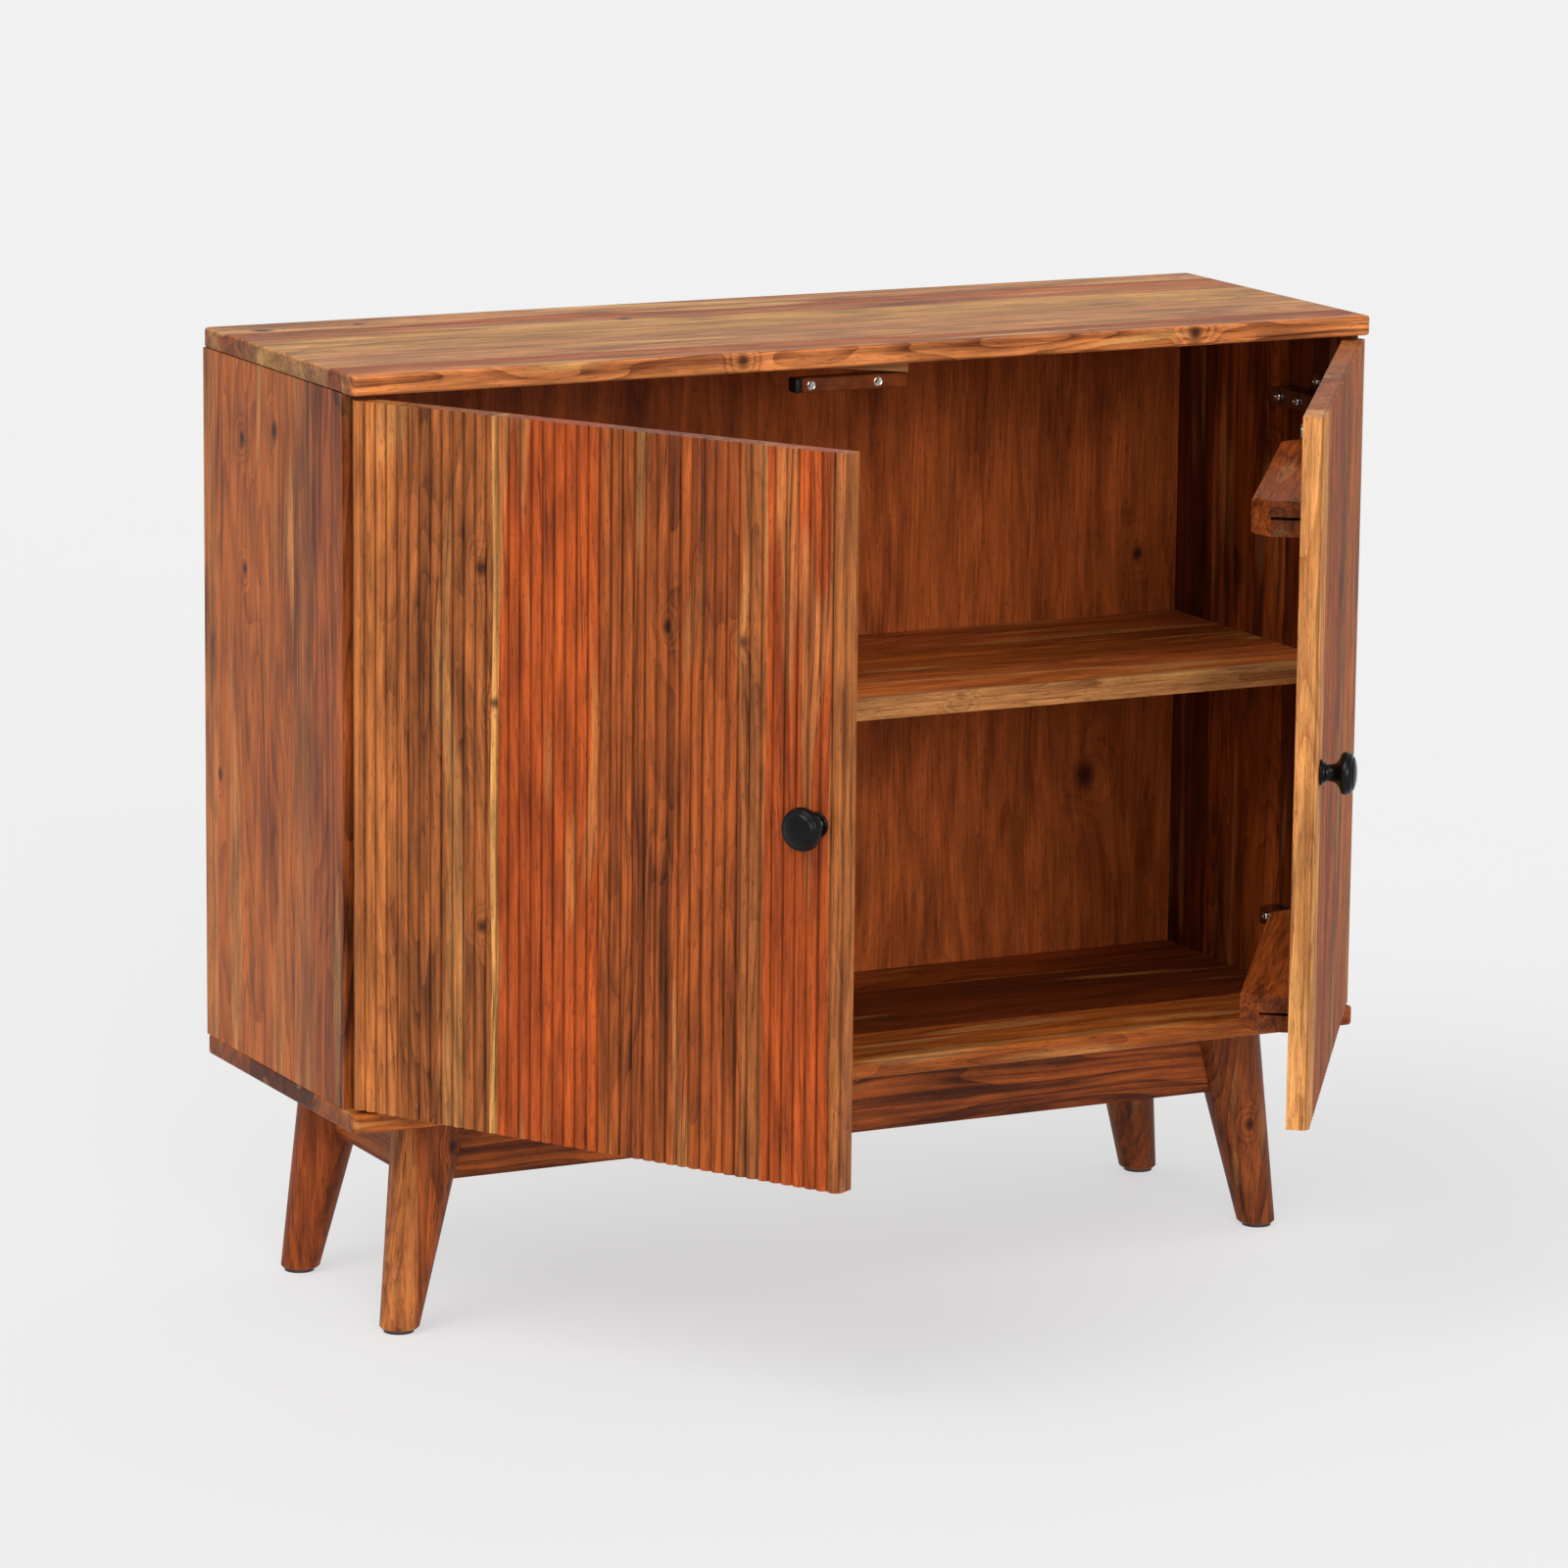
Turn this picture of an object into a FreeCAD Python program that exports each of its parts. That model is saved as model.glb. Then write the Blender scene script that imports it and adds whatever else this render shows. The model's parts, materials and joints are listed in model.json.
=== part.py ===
import FreeCAD, Part
import math
import os
import re
from collections import namedtuple

import Sketcher

# A low two-door cabinet on four splayed legs, for a television.
# The origin is on the floor under the middle of the cabinet: X runs to the
# right, Y to the back and Z up. Both doors are drawn standing open.

# Driving sizes, in millimetres and degrees.
SIZES = {
    # Cabinet
    "overall_width": 900,
    "overall_depth": 300,
    "overall_height": 768,
    "base_height": 176,
    "board_thick": 16,
    "board_corner_round": 5,
    "board_edge_round": 2.5,
    "side_thick": 16,
    "plank_joint_distance": 80,
    "plank_joint_width": 2,
    "plank_joint_depth": 1.5,
    "shelf_thick": 18,
    "shelf_setback": 5.5,
    "back_thick": 6,
    "back_inset": 12,
    "groove_depth": 4,
    "groove_end_gap": 0.5,
    "dowel_radius": 4,
    "dowel_in_board": 10,
    "dowel_in_end": 20,
    "dowel_edge_distance": 40,
    "fastener_clearance": 0.1,
    # Base frame
    "leg_top_radius": 30.3,
    "leg_foot_radius": 15.5,
    "leg_top_inset_x": 91,
    "leg_top_inset_y": 59,
    "leg_foot_inset_x": 59,
    "leg_foot_inset_y": 49.5,
    "foot_chamfer": 1.5,
    "glide_radius": 12,
    "glide_thick": 3,
    "glide_nail_radius": 1.5,
    "glide_nail_length": 16,
    "apron_height": 58,
    "apron_thick": 18,
    "apron_inset_x": 78,
    "apron_inset_y": 52,
    "apron_dowel_height": 15,
    "apron_dowel_in_leg": 14,
    "brace_height": 50,
    "brace_leg_gap": 3.6,
    "brace_thick": 16,
    "bolt_radius": 3,
    "bolt_in_leg": 24,
    "bolt_past_nut": 3,
    "nut_radius": 5.8,
    "nut_thick": 5,
    "washer_radius": 8,
    "washer_thick": 1.2,
    "frame_screw_spread": 18,
    "frame_screw_sunk": 14,
    "frame_screw_bite": 12,
    # Wood screws
    "screw_radius": 2,
    "screw_head_radius": 4,
    "screw_head_thick": 2.4,
    # Doors
    "door_thick": 18,
    "door_gap_behind": 2.5,
    "door_gap_above": 3.5,
    "door_gap_below": 3.5,
    "door_gap_meeting": 3,
    "door_side_inset": 1,
    "reed_count": 43,
    "reed_depth": 3,
    "reed_land": 0.6,
    "door_edge_land": 0.8,
    "pivot_inset": 8,
    "pivot_depth": 3.5,
    "left_door_angle": 60,
    "right_door_angle": 55,
    # Stiffening battens on the backs of the doors
    "batten_hinge_margin": 56,
    "batten_free_margin": 72,
    "batten_projection": 44,
    "batten_height": 28,
    "batten_end_chamfer": 16,
    "batten_edge_round": 3,
    "batten_kerf": 2.5,
    "batten_kerf_depth": 28,
    "upper_batten_drop": 90,
    "lower_batten_rise": 73.5,
    "batten_screw_margin": 40,
    "batten_screw_sunk": 26,
    "batten_screw_bite": 9,
    # Knobs
    "knob_edge_distance": 22,
    "knob_head_radius": 16.5,
    "knob_rim_radius": 13.5,
    "knob_neck_radius": 6.5,
    "knob_flange_radius": 10,
    "knob_flange_thick": 2.5,
    "knob_ring_radius": 8.2,
    "knob_ring_thick": 2,
    "knob_neck_length": 12,
    "knob_head_thick": 9,
    "knob_rim_step": 0.8,
    "knob_dome": 2,
    "knob_screw_radius": 2,
    "knob_screw_bite": 14,
    # Concealed cup hinges
    "hinge_end_distance": 57,
    "cup_edge_distance": 22.5,
    "cup_radius": 17.5,
    "cup_depth": 11.5,
    "cup_wall": 1,
    "cup_rim_radius": 19,
    "cup_rim_thick": 1,
    "cup_clearance": 0.2,
    "cup_pin_radius": 1.2,
    "cup_pin_setback": 11.5,
    "cup_pin_depth": 6.5,
    "cup_ear_offset": 9.5,
    "cup_ear_half_width": 6,
    "cup_ear_half_length": 28,
    "cup_screw_spread": 22.5,
    "cup_screw_length": 10,
    "plate_front": 12,
    "plate_length": 66,
    "plate_thick": 2,
    "plate_half_height": 8,
    "wing_front": 26,
    "wing_width": 17,
    "wing_half_height": 23,
    "rib_front": 18,
    "rib_length": 54,
    "rib_thick": 7,
    "rib_half_height": 5,
    "plate_screw_setback": 34.5,
    "plate_screw_spread": 16,
    "plate_screw_length": 12,
    "arm_front": 9.5,
    "arm_length": 72,
    "arm_projection": 16,
    "arm_half_height": 7,
    "arm_wall": 1.6,
    "arm_screw_front": 40.5,
    "arm_screw_rear": 70.5,
    "arm_screw_length": 9,
    "link_offset": 13,
    "link_thick": 3,
    "link_half_height": 5,
    "link_reach": 8,
    "barrel_radius": 3.5,
    "barrel_half_height": 6,
    # Magnetic catch under the top board
    "catch_left": 58,
    "catch_right": 36,
    "packer_left": 43,
    "packer_thick": 10,
    "catch_height": 12,
    "catch_depth": 14,
    "catch_cap_length": 6,
    "magnet_radius": 5,
    "magnet_length": 5,
    "magnet_gap": 0.2,
    "left_magnet": -50,
    "right_magnet": 9,
    "magnet_drop": 16,
    "catch_screw_left": -28,
    "catch_screw_right": 26,
    "catch_screw_bite": 8,
    "strike_radius": 6,
    "strike_thick": 1.5,
    "strike_pin_radius": 1.5,
    "strike_pin_length": 8,
}

# Faces and lines that several pieces share, written with the driving sizes.
HALF_WIDTH = "(overall_width / 2)"
INNER_SIDE = "(overall_width / 2 - side_thick)"
FRONT = "(-overall_depth / 2)"
REAR = "(overall_depth / 2)"
FLOOR = "(base_height + board_thick)"
CEILING = "(overall_height - board_thick)"
BACK_FACE = f"({REAR} - back_inset - back_thick)"
SIDE_FRONT = f"({FRONT} + door_thick + door_gap_behind)"
SHELF_UNDER = f"(({FLOOR} + {CEILING} - shelf_thick) / 2)"
APRON_UNDER = "(base_height - apron_height)"
PIVOT_X = f"({HALF_WIDTH} - pivot_inset)"
PIVOT_Y = f"({FRONT} + pivot_depth)"
DOOR_FOOT = f"({FLOOR} + door_gap_below)"
DOOR_HEAD = f"({CEILING} - door_gap_above)"

# A door's own frame has its origin on the pivot line: distances run along the
# door from that line towards its free edge, and from its front to its back.
HINGE_EDGE = "(door_side_inset - pivot_inset)"
FREE_EDGE = f"({PIVOT_X} - door_gap_meeting / 2)"
DOOR_BACK = "(door_thick - pivot_depth)"
DOOR_CORE = "(reed_depth - pivot_depth)"
CUP_CENTRE = f"({HINGE_EDGE} + cup_edge_distance)"
BATTEN_START = f"({HINGE_EDGE} + batten_hinge_margin)"
BATTEN_END = f"({FREE_EDGE} - batten_free_margin)"

SIDES = {"left": -1, "right": 1}
CORNERS = {
    "front_left": (-1, -1),
    "front_right": (1, -1),
    "rear_left": (-1, 1),
    "rear_right": (1, 1),
}
HINGE_LEVELS = {
    "upper": f"({DOOR_HEAD} - hinge_end_distance)",
    "lower": f"({DOOR_FOOT} + hinge_end_distance)",
}
BATTEN_LEVELS = {
    "upper": f"({DOOR_HEAD} - upper_batten_drop)",
    "lower": f"({DOOR_FOOT} + lower_batten_rise)",
}

# Turns that lay an upright rod along each axis.
ALONG = {
    "X": FreeCAD.Rotation(FreeCAD.Vector(0, 1, 0), 90),
    "-X": FreeCAD.Rotation(FreeCAD.Vector(0, 1, 0), -90),
    "Y": FreeCAD.Rotation(FreeCAD.Vector(1, 0, 0), -90),
    "-Y": FreeCAD.Rotation(FreeCAD.Vector(1, 0, 0), 90),
    "Z": FreeCAD.Rotation(),
}

Pin = namedtuple("Pin", "axis start radius length")

doc = FreeCAD.newDocument("CabinetStand")
sheet = doc.addObject("Spreadsheet::Sheet", "Sizes")
parts = []


# ---------------------------------------------------------------- helpers


def fill_sheet():
    """Write each driving size into its own named cell."""
    for row, (alias, value) in enumerate(SIZES.items(), start=1):
        sheet.set(f"A{row}", alias)
        sheet.set(f"B{row}", str(value))
        sheet.setAlias(f"B{row}", alias)
    doc.recompute()


def sized(text):
    """Return an expression with the sheet's name written before each driving size."""
    def named(word):
        return f"Sizes.{word.group()}" if word.group() in SIZES else word.group()
    return re.sub(r"[a-z][a-z_]*", named, text)


def number(text):
    """Return the present value of an expression of the driving sizes."""
    return float(sheet.evalExpression(sized(text)))


def bind(feature, bindings):
    """Tie properties of a feature to expressions of the driving sizes."""
    for name, text in bindings.items():
        feature.setExpression(name, sized(text))
    return feature


def mirrored(sign, text):
    """Return a coordinate on the positive side, or its mirror image."""
    return text if sign > 0 else f"(-({text}))"


def low_end(sign, near, far):
    """Return the lower end of a stretch from near to far, or of its mirror image."""
    return near if sign > 0 else f"(-({far}))"


def at(point):
    """Return the bindings that put a feature at a point."""
    x, y, z = point
    return {"Placement.Base.x": x, "Placement.Base.y": y, "Placement.Base.z": z}


def block(low, edges):
    """Make a rectangular block from its low corner and its edges along X, Y and Z."""
    box = doc.addObject("Part::Box", "Block")
    length, width, height = edges
    return bind(box, {"Length": length, "Width": width, "Height": height, **at(low)})


def rod(pin, clearance="0"):
    """Make a round rod, or with a clearance the hole that it goes in."""
    cylinder = doc.addObject("Part::Cylinder", "Rod")
    turn = ALONG[pin.axis] if isinstance(pin.axis, str) else pin.axis
    cylinder.Placement = FreeCAD.Placement(FreeCAD.Vector(), turn)
    radius = f"{pin.radius} + {clearance}"
    return bind(cylinder, {"Radius": radius, "Height": pin.length, **at(pin.start)})


def holes(pins):
    """Make the clearance holes for some rods."""
    return [rod(pin, "fastener_clearance") for pin in pins]


def join(pieces):
    """Fuse pieces; pieces that don't touch stay separate solids of one group."""
    if len(pieces) == 1:
        return pieces[0]
    fuse = doc.addObject("Part::MultiFuse", "Join")
    fuse.Shapes = pieces
    return fuse


def carve(piece, tools):
    """Cut the tools away from a piece."""
    cut = doc.addObject("Part::Cut", "Carved")
    cut.Base = piece
    cut.Tool = join(tools)
    return cut


def keep(label, piece):
    """Name a finished sub-part and keep it for export."""
    piece.Label = label
    parts.append(piece)
    return piece


def keep_on_door(label, piece, sign, point=("0", "0", "0")):
    """Keep a sub-part drawn in a door's own frame, and swing it open with the door."""
    side = "right" if sign > 0 else "left"
    angle = f"({sign}deg * {side}_door_angle)"
    along, across, up = point
    bind(piece, {
        "Placement.Base.x": f"{mirrored(sign, PIVOT_X)} + {along} * cos({angle})"
                            f" - {across} * sin({angle})",
        "Placement.Base.y": f"{PIVOT_Y} + {along} * sin({angle}) + {across} * cos({angle})",
        "Placement.Base.z": up,
        "Placement.Rotation.Angle": angle,
    })
    return keep(label, piece)


def new_body(name):
    """Make an empty body."""
    return doc.addObject("PartDesign::Body", name)


def origin_of(body, role):
    """Return one of a body's own origin planes or axes."""
    return next(item for item in body.Origin.OriginFeatures if item.Role == role)


def outline(body, points, arcs=None):
    """Draw a closed outline on the body's XY plane, fixed by the driving sizes.

    The side that starts at point i is a straight line, or, where arcs has i, an
    arc with that radius and rise, which bulges to the right of the way round.
    """
    arcs = arcs or {}
    sketch = body.newObject("Sketcher::SketchObject", "Outline")
    sketch.AttachmentSupport = [(origin_of(body, "XY_Plane"), "")]
    sketch.MapMode = "FlatFace"
    corners = [FreeCAD.Vector(number(x), number(y), 0) for x, y in points]
    for index, begin in enumerate(corners):
        end = corners[(index + 1) % len(corners)]
        if index in arcs:
            chord = end - begin
            bulge = FreeCAD.Vector(chord.y, -chord.x, 0).normalize() * number(arcs[index][1])
            sketch.addGeometry(Part.Arc(begin, (begin + end) / 2 + bulge, end), False)
        else:
            sketch.addGeometry(Part.LineSegment(begin, end), False)
    for index, (x, y) in enumerate(points):
        following = (index + 1) % len(points)
        sketch.addConstraint(Sketcher.Constraint("Coincident", index, 2, following, 1))
        for kind, text in (("DistanceX", x), ("DistanceY", y)):
            fixed = sketch.addConstraint(Sketcher.Constraint(kind, -1, 1, index, 1, number(text)))
            bind(sketch, {f"Constraints[{fixed}]": text})
    for index, (radius, _) in arcs.items():
        fixed = sketch.addConstraint(Sketcher.Constraint("Radius", index, number(radius)))
        bind(sketch, {f"Constraints[{fixed}]": radius})
    return sketch


def pad(body, sketch, length):
    """Thicken an outline upwards."""
    feature = body.newObject("PartDesign::Pad", "Pad")
    feature.Profile = sketch
    bind(feature, {"Length": length})
    return feature


def rounded(body, feature, wanted, radius):
    """Round the edges of a feature that the wanted test picks out."""
    doc.recompute()
    names = [f"Edge{i}" for i, edge in enumerate(feature.Shape.Edges, start=1) if wanted(edge)]
    fillet = body.newObject("PartDesign::Fillet", "Fillet")
    fillet.Base = (feature, names)
    bind(fillet, {"Radius": radius})
    return fillet


def is_upright(edge):
    """Tell whether an edge runs along Z."""
    box = edge.BoundBox
    return box.ZLength > box.DiagonalLength * 0.999


def is_level(edge):
    """Tell whether an edge lies in a level plane."""
    return edge.BoundBox.ZLength < edge.BoundBox.DiagonalLength * 0.001


def rectangle(low_x, low_y, high_x, high_y):
    """Return the corners of a rectangle, counter-clockwise."""
    return [(low_x, low_y), (high_x, low_y), (high_x, high_y), (low_x, high_y)]


def screw(axis, seat, length):
    """Return a wood screw's two rods: its shank into the wood and its head on the seat."""
    x, y, z = seat
    outward = {"X": ("-", 0), "-X": ("+", 0), "Y": ("-", 1), "-Y": ("+", 1), "Z": ("-", 2)}
    way, index = outward[axis]
    head_start = [x, y, z]
    head_start[index] = f"{seat[index]} {way} screw_head_thick"
    shank = Pin(axis, seat, "screw_radius", length)
    head = Pin(axis, tuple(head_start), "screw_head_radius", "screw_head_thick")
    return shank, head


# ---------------------------------------------------------------- cabinet


def carcass_dowels():
    """Return the dowels that pin the sides to the boards and the shelf to the sides."""
    front = f"({SIDE_FRONT} + dowel_edge_distance)"
    rear = f"({BACK_FACE} - dowel_edge_distance)"
    length = "(dowel_in_board + dowel_in_end)"
    pins = {"top": [], "bottom": [], "shelf": []}
    for sign in SIDES.values():
        middle = mirrored(sign, f"{HALF_WIDTH} - side_thick / 2")
        inner_end = low_end(sign, f"({INNER_SIDE} - dowel_in_end)",
                            f"({INNER_SIDE} + dowel_in_board)")
        shelf_middle = f"{SHELF_UNDER} + shelf_thick / 2"
        for y in (front, f"(({front} + {rear}) / 2)", rear):
            low = (middle, y, f"{FLOOR} - dowel_in_board")
            high = (middle, y, f"{CEILING} - dowel_in_end")
            pins["bottom"].append(Pin("Z", low, "dowel_radius", length))
            pins["top"].append(Pin("Z", high, "dowel_radius", length))
            pins["shelf"].append(Pin("X", (inner_end, y, shelf_middle), "dowel_radius", length))
    return pins


def board(name, level):
    """Make a full-size board with rounded corners and softened edges."""
    body = new_body(name)
    bind(body, at(("0", "0", level)))
    sketch = outline(body, rectangle(f"-{HALF_WIDTH}", FRONT, HALF_WIDTH, REAR))
    slab = pad(body, sketch, "board_thick")
    corners = rounded(body, slab, is_upright, "board_corner_round")
    rounded(body, corners, is_level, "board_edge_round")
    return body


def back_groove():
    """Return the block that the grooves for the back panel are cut with."""
    low = (f"-({INNER_SIDE} + groove_depth)", BACK_FACE, f"{FLOOR} - groove_depth")
    high = f"{CEILING} + groove_depth"
    edges = (f"2 * ({INNER_SIDE} + groove_depth)", "back_thick", f"{high} - ({low[2]})")
    return block(low, edges)


def make_boards(dowels, catch_pins, frame_pins):
    """Make the top board and the bottom board."""
    top_tools = [back_groove()] + holes(dowels["top"]) + holes(catch_pins)
    keep("top_board", carve(board("TopSlab", CEILING), top_tools))
    bottom_tools = [back_groove()] + holes(dowels["bottom"]) + holes(frame_pins)
    keep("bottom_board", carve(board("BottomSlab", "base_height"), bottom_tools))


def make_sides(dowels, plate_pins):
    """Make the side panels, each with its groove and the open joint between its planks."""
    height = f"{CEILING} - {FLOOR}"
    for side, sign in SIDES.items():
        slab = block((low_end(sign, INNER_SIDE, HALF_WIDTH), SIDE_FRONT, FLOOR),
                     ("side_thick", f"{REAR} - {SIDE_FRONT}", height))
        joint_low = low_end(sign, INNER_SIDE, f"({INNER_SIDE} + plank_joint_depth)")
        joint = block((joint_low, f"{SIDE_FRONT} + plank_joint_distance", FLOOR),
                      ("plank_joint_depth", "plank_joint_width", height))
        pins = dowels["top"] + dowels["bottom"] + dowels["shelf"] + plate_pins
        keep(f"side_panel_{side}", carve(slab, [back_groove(), joint] + holes(pins)))


def make_back_and_shelf(dowels):
    """Make the back panel, which slides into the grooves, and the fixed shelf."""
    half = f"({INNER_SIDE} + groove_depth - groove_end_gap)"
    low = f"({FLOOR} - groove_depth)"
    high = f"({CEILING} + groove_depth - groove_end_gap)"
    keep("back_panel", block((f"-{half}", BACK_FACE, low),
                             (f"2 * {half}", "back_thick", f"{high} - {low}")))
    shelf_front = f"({SIDE_FRONT} + shelf_setback)"
    shelf = block((f"-{INNER_SIDE}", shelf_front, SHELF_UNDER),
                  (f"2 * {INNER_SIDE}", f"{BACK_FACE} - {shelf_front}", "shelf_thick"))
    keep("shelf", carve(shelf, holes(dowels["shelf"])))


def make_carcass_dowels(dowels):
    """Make the carcass and shelf dowels."""
    every = dowels["top"] + dowels["bottom"] + dowels["shelf"]
    keep("carcass_dowels", join([rod(pin) for pin in every]))


# ---------------------------------------------------------------- base frame


def leg_share(level):
    """Return how far down the leg a level is, from 0 at its top to 1 at the floor."""
    return f"((base_height - {level}) / base_height)"


def leg_centre(level):
    """Return the distances of a leg's axis from the cabinet's middle planes at a level."""
    share = leg_share(level)
    x = f"({HALF_WIDTH} - leg_top_inset_x + (leg_top_inset_x - leg_foot_inset_x) * {share})"
    y = f"({REAR} - leg_top_inset_y + (leg_top_inset_y - leg_foot_inset_y) * {share})"
    return x, y


def leg_radius(level):
    """Return a leg's radius at a level."""
    return f"(leg_top_radius + (leg_foot_radius - leg_top_radius) * {leg_share(level)})"


def leg_taper(sign_x, sign_y):
    """Make a round leg that leans outwards and narrows down to a chamfered foot."""
    sections = []
    chamfer_top = "(glide_thick + foot_chamfer)"
    stations = (("base_height", "0"), (chamfer_top, "0"), ("glide_thick", "foot_chamfer"))
    for level, trim in stations:
        x, y = leg_centre(level)
        ring = doc.addObject("Part::Circle", "LegSection")
        place = at((mirrored(sign_x, x), mirrored(sign_y, y), level))
        sections.append(bind(ring, {"Radius": f"{leg_radius(level)} - {trim}", **place}))
    taper = doc.addObject("Part::Loft", "LegTaper")
    taper.Sections = sections
    taper.Solid = True
    taper.Ruled = True
    return taper


def apron_dowels(sign_x, sign_y):
    """Return the dowels of one corner: two into the leg from each of its two aprons."""
    pins = {"X": [], "Y": []}
    length = "(dowel_in_end + apron_dowel_in_leg)"
    middle = f"(base_height - apron_height / 2)"
    for level in (f"({middle} - apron_dowel_height)", f"({middle} + apron_dowel_height)"):
        x, y = leg_centre(level)
        radius = leg_radius(level)
        ends = {}
        for axis, sign, centre in (("X", sign_x, x), ("Y", sign_y, y)):
            surface = f"({centre} - {radius})"
            ends[axis] = low_end(sign, f"({surface} - dowel_in_end)",
                                 f"({surface} + apron_dowel_in_leg)")
        across_y = mirrored(sign_y, f"{REAR} - apron_inset_y - apron_thick / 2")
        across_x = mirrored(sign_x, f"{HALF_WIDTH} - apron_inset_x - apron_thick / 2")
        pins["X"].append(Pin("X", (ends["X"], across_y, level), "dowel_radius", length))
        pins["Y"].append(Pin("Y", (across_x, ends["Y"], level), "dowel_radius", length))
    return pins


# The inner corner between an end apron and a long apron, and the height of the bolts.
CORNER_X = f"({HALF_WIDTH} - apron_inset_x - apron_thick)"
CORNER_Y = f"({REAR} - apron_inset_y - apron_thick)"
BOLT_LEVEL = "(base_height - apron_height / 2)"
DIAGONAL = math.sqrt(0.5)

# How far the legs' tops reach inwards along the diagonal, and the two faces of a brace.
TOP_X, TOP_Y = leg_centre("base_height")
LEG_REACH = f"(leg_top_radius - {DIAGONAL} * ({TOP_X} - {CORNER_X} + {TOP_Y} - {CORNER_Y}))"
BRACE_FRONT = f"({LEG_REACH} + brace_leg_gap)"
BRACE_BACK = f"({BRACE_FRONT} + brace_thick)"
BOLT_INNER = f"({BRACE_BACK} + washer_thick + nut_thick + bolt_past_nut)"


def diagonal_point(sign_x, sign_y, inward, level, sideways="0"):
    """Return a point on a corner's diagonal, measured inwards from the aprons' corner."""
    x = f"{CORNER_X} - {DIAGONAL} * ({inward} + {sideways})"
    y = f"{CORNER_Y} - {DIAGONAL} * ({inward} - ({sideways}))"
    return mirrored(sign_x, x), mirrored(sign_y, y), level


def outward_turn(sign_x, sign_y):
    """Return the turn that lays an upright rod along a corner's diagonal, outwards."""
    return FreeCAD.Rotation(FreeCAD.Vector(-sign_y, sign_x, 0), 90)


def brace_bolt(sign_x, sign_y):
    """Return the hanger bolt that draws a leg against its two aprons."""
    x, y = leg_centre(BOLT_LEVEL)
    to_leg_face = f"(({x} - {CORNER_X} + {y} - {CORNER_Y}) * {DIAGONAL} - {leg_radius(BOLT_LEVEL)})"
    start = diagonal_point(sign_x, sign_y, BOLT_INNER, BOLT_LEVEL)
    length = f"{BOLT_INNER} + {to_leg_face} + bolt_in_leg"
    return Pin(outward_turn(sign_x, sign_y), start, "bolt_radius", length)


def frame_screws(sign_x, sign_y):
    """Return two sunk screws that go up through a corner brace into the bottom board."""
    seat_level = "(base_height - brace_height + frame_screw_sunk)"
    middle = f"(({BRACE_FRONT} + {BRACE_BACK}) / 2)"
    length = "(brace_height - frame_screw_sunk + frame_screw_bite)"
    pairs = []
    for sideways in ("frame_screw_spread", "-frame_screw_spread"):
        seat = diagonal_point(sign_x, sign_y, middle, seat_level, sideways)
        pairs.append(screw("Z", seat, length))
    return pairs


def make_corner(corner, sign_x, sign_y):
    """Make a leg and its corner brace."""
    dowels = apron_dowels(sign_x, sign_y)
    bolt = brace_bolt(sign_x, sign_y)
    nail = glide_pins(sign_x, sign_y)[1]
    leg_pins = dowels["X"] + dowels["Y"] + [bolt, nail]
    keep(f"leg_{corner}", carve(leg_taper(sign_x, sign_y), holes(leg_pins)))
    body = new_body("Brace")
    bind(body, at(("0", "0", "base_height - brace_height")))
    near = f"{BRACE_FRONT} / {DIAGONAL}"
    far = f"{BRACE_BACK} / {DIAGONAL}"
    points = [
        (f"{CORNER_X} - {near}", CORNER_Y),
        (CORNER_X, f"{CORNER_Y} - {near}"),
        (CORNER_X, f"{CORNER_Y} - {far}"),
        (f"{CORNER_X} - {far}", CORNER_Y),
    ]
    placed = [(mirrored(sign_x, x), mirrored(sign_y, y)) for x, y in points]
    pad(body, outline(body, placed), "brace_height")
    tools = holes([bolt])
    for shank, head in frame_screws(sign_x, sign_y):
        x, y, _ = head.start
        sink = Pin("Z", (x, y, "base_height - brace_height"), head.radius, "frame_screw_sunk")
        tools += holes([shank, sink])
    keep(f"corner_brace_{corner}", carve(body, tools))


def make_aprons():
    """Make the four aprons, each coped round the two legs at its ends."""
    long_half = f"({HALF_WIDTH} - leg_top_inset_x)"
    end_half = f"({REAR} - leg_top_inset_y)"
    long_outer = f"({REAR} - apron_inset_y)"
    end_outer = f"({HALF_WIDTH} - apron_inset_x)"
    for name, sign in (("front", -1), ("rear", 1)):
        low = low_end(sign, f"({long_outer} - apron_thick)", long_outer)
        rail = block((f"-{long_half}", low, APRON_UNDER),
                     (f"2 * {long_half}", "apron_thick", "apron_height"))
        tools = [leg_taper(end, sign) for end in SIDES.values()]
        for end in SIDES.values():
            tools += holes(apron_dowels(end, sign)["X"])
        keep(f"apron_{name}", carve(rail, tools))
    for name, sign in SIDES.items():
        low = low_end(sign, f"({end_outer} - apron_thick)", end_outer)
        rail = block((low, f"-{end_half}", APRON_UNDER),
                     ("apron_thick", f"2 * {end_half}", "apron_height"))
        tools = [leg_taper(sign, end) for end in (-1, 1)]
        for end in (-1, 1):
            tools += holes(apron_dowels(sign, end)["Y"])
        keep(f"apron_{name}", carve(rail, tools))


def glide_pins(sign_x, sign_y):
    """Return the disc and the nail of one glide."""
    x, y = leg_centre("0")
    foot = (mirrored(sign_x, x), mirrored(sign_y, y))
    disc = Pin("Z", (*foot, "0"), "glide_radius", "glide_thick")
    nail = Pin("Z", (*foot, "glide_thick"), "glide_nail_radius", "glide_nail_length")
    return disc, nail


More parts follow.
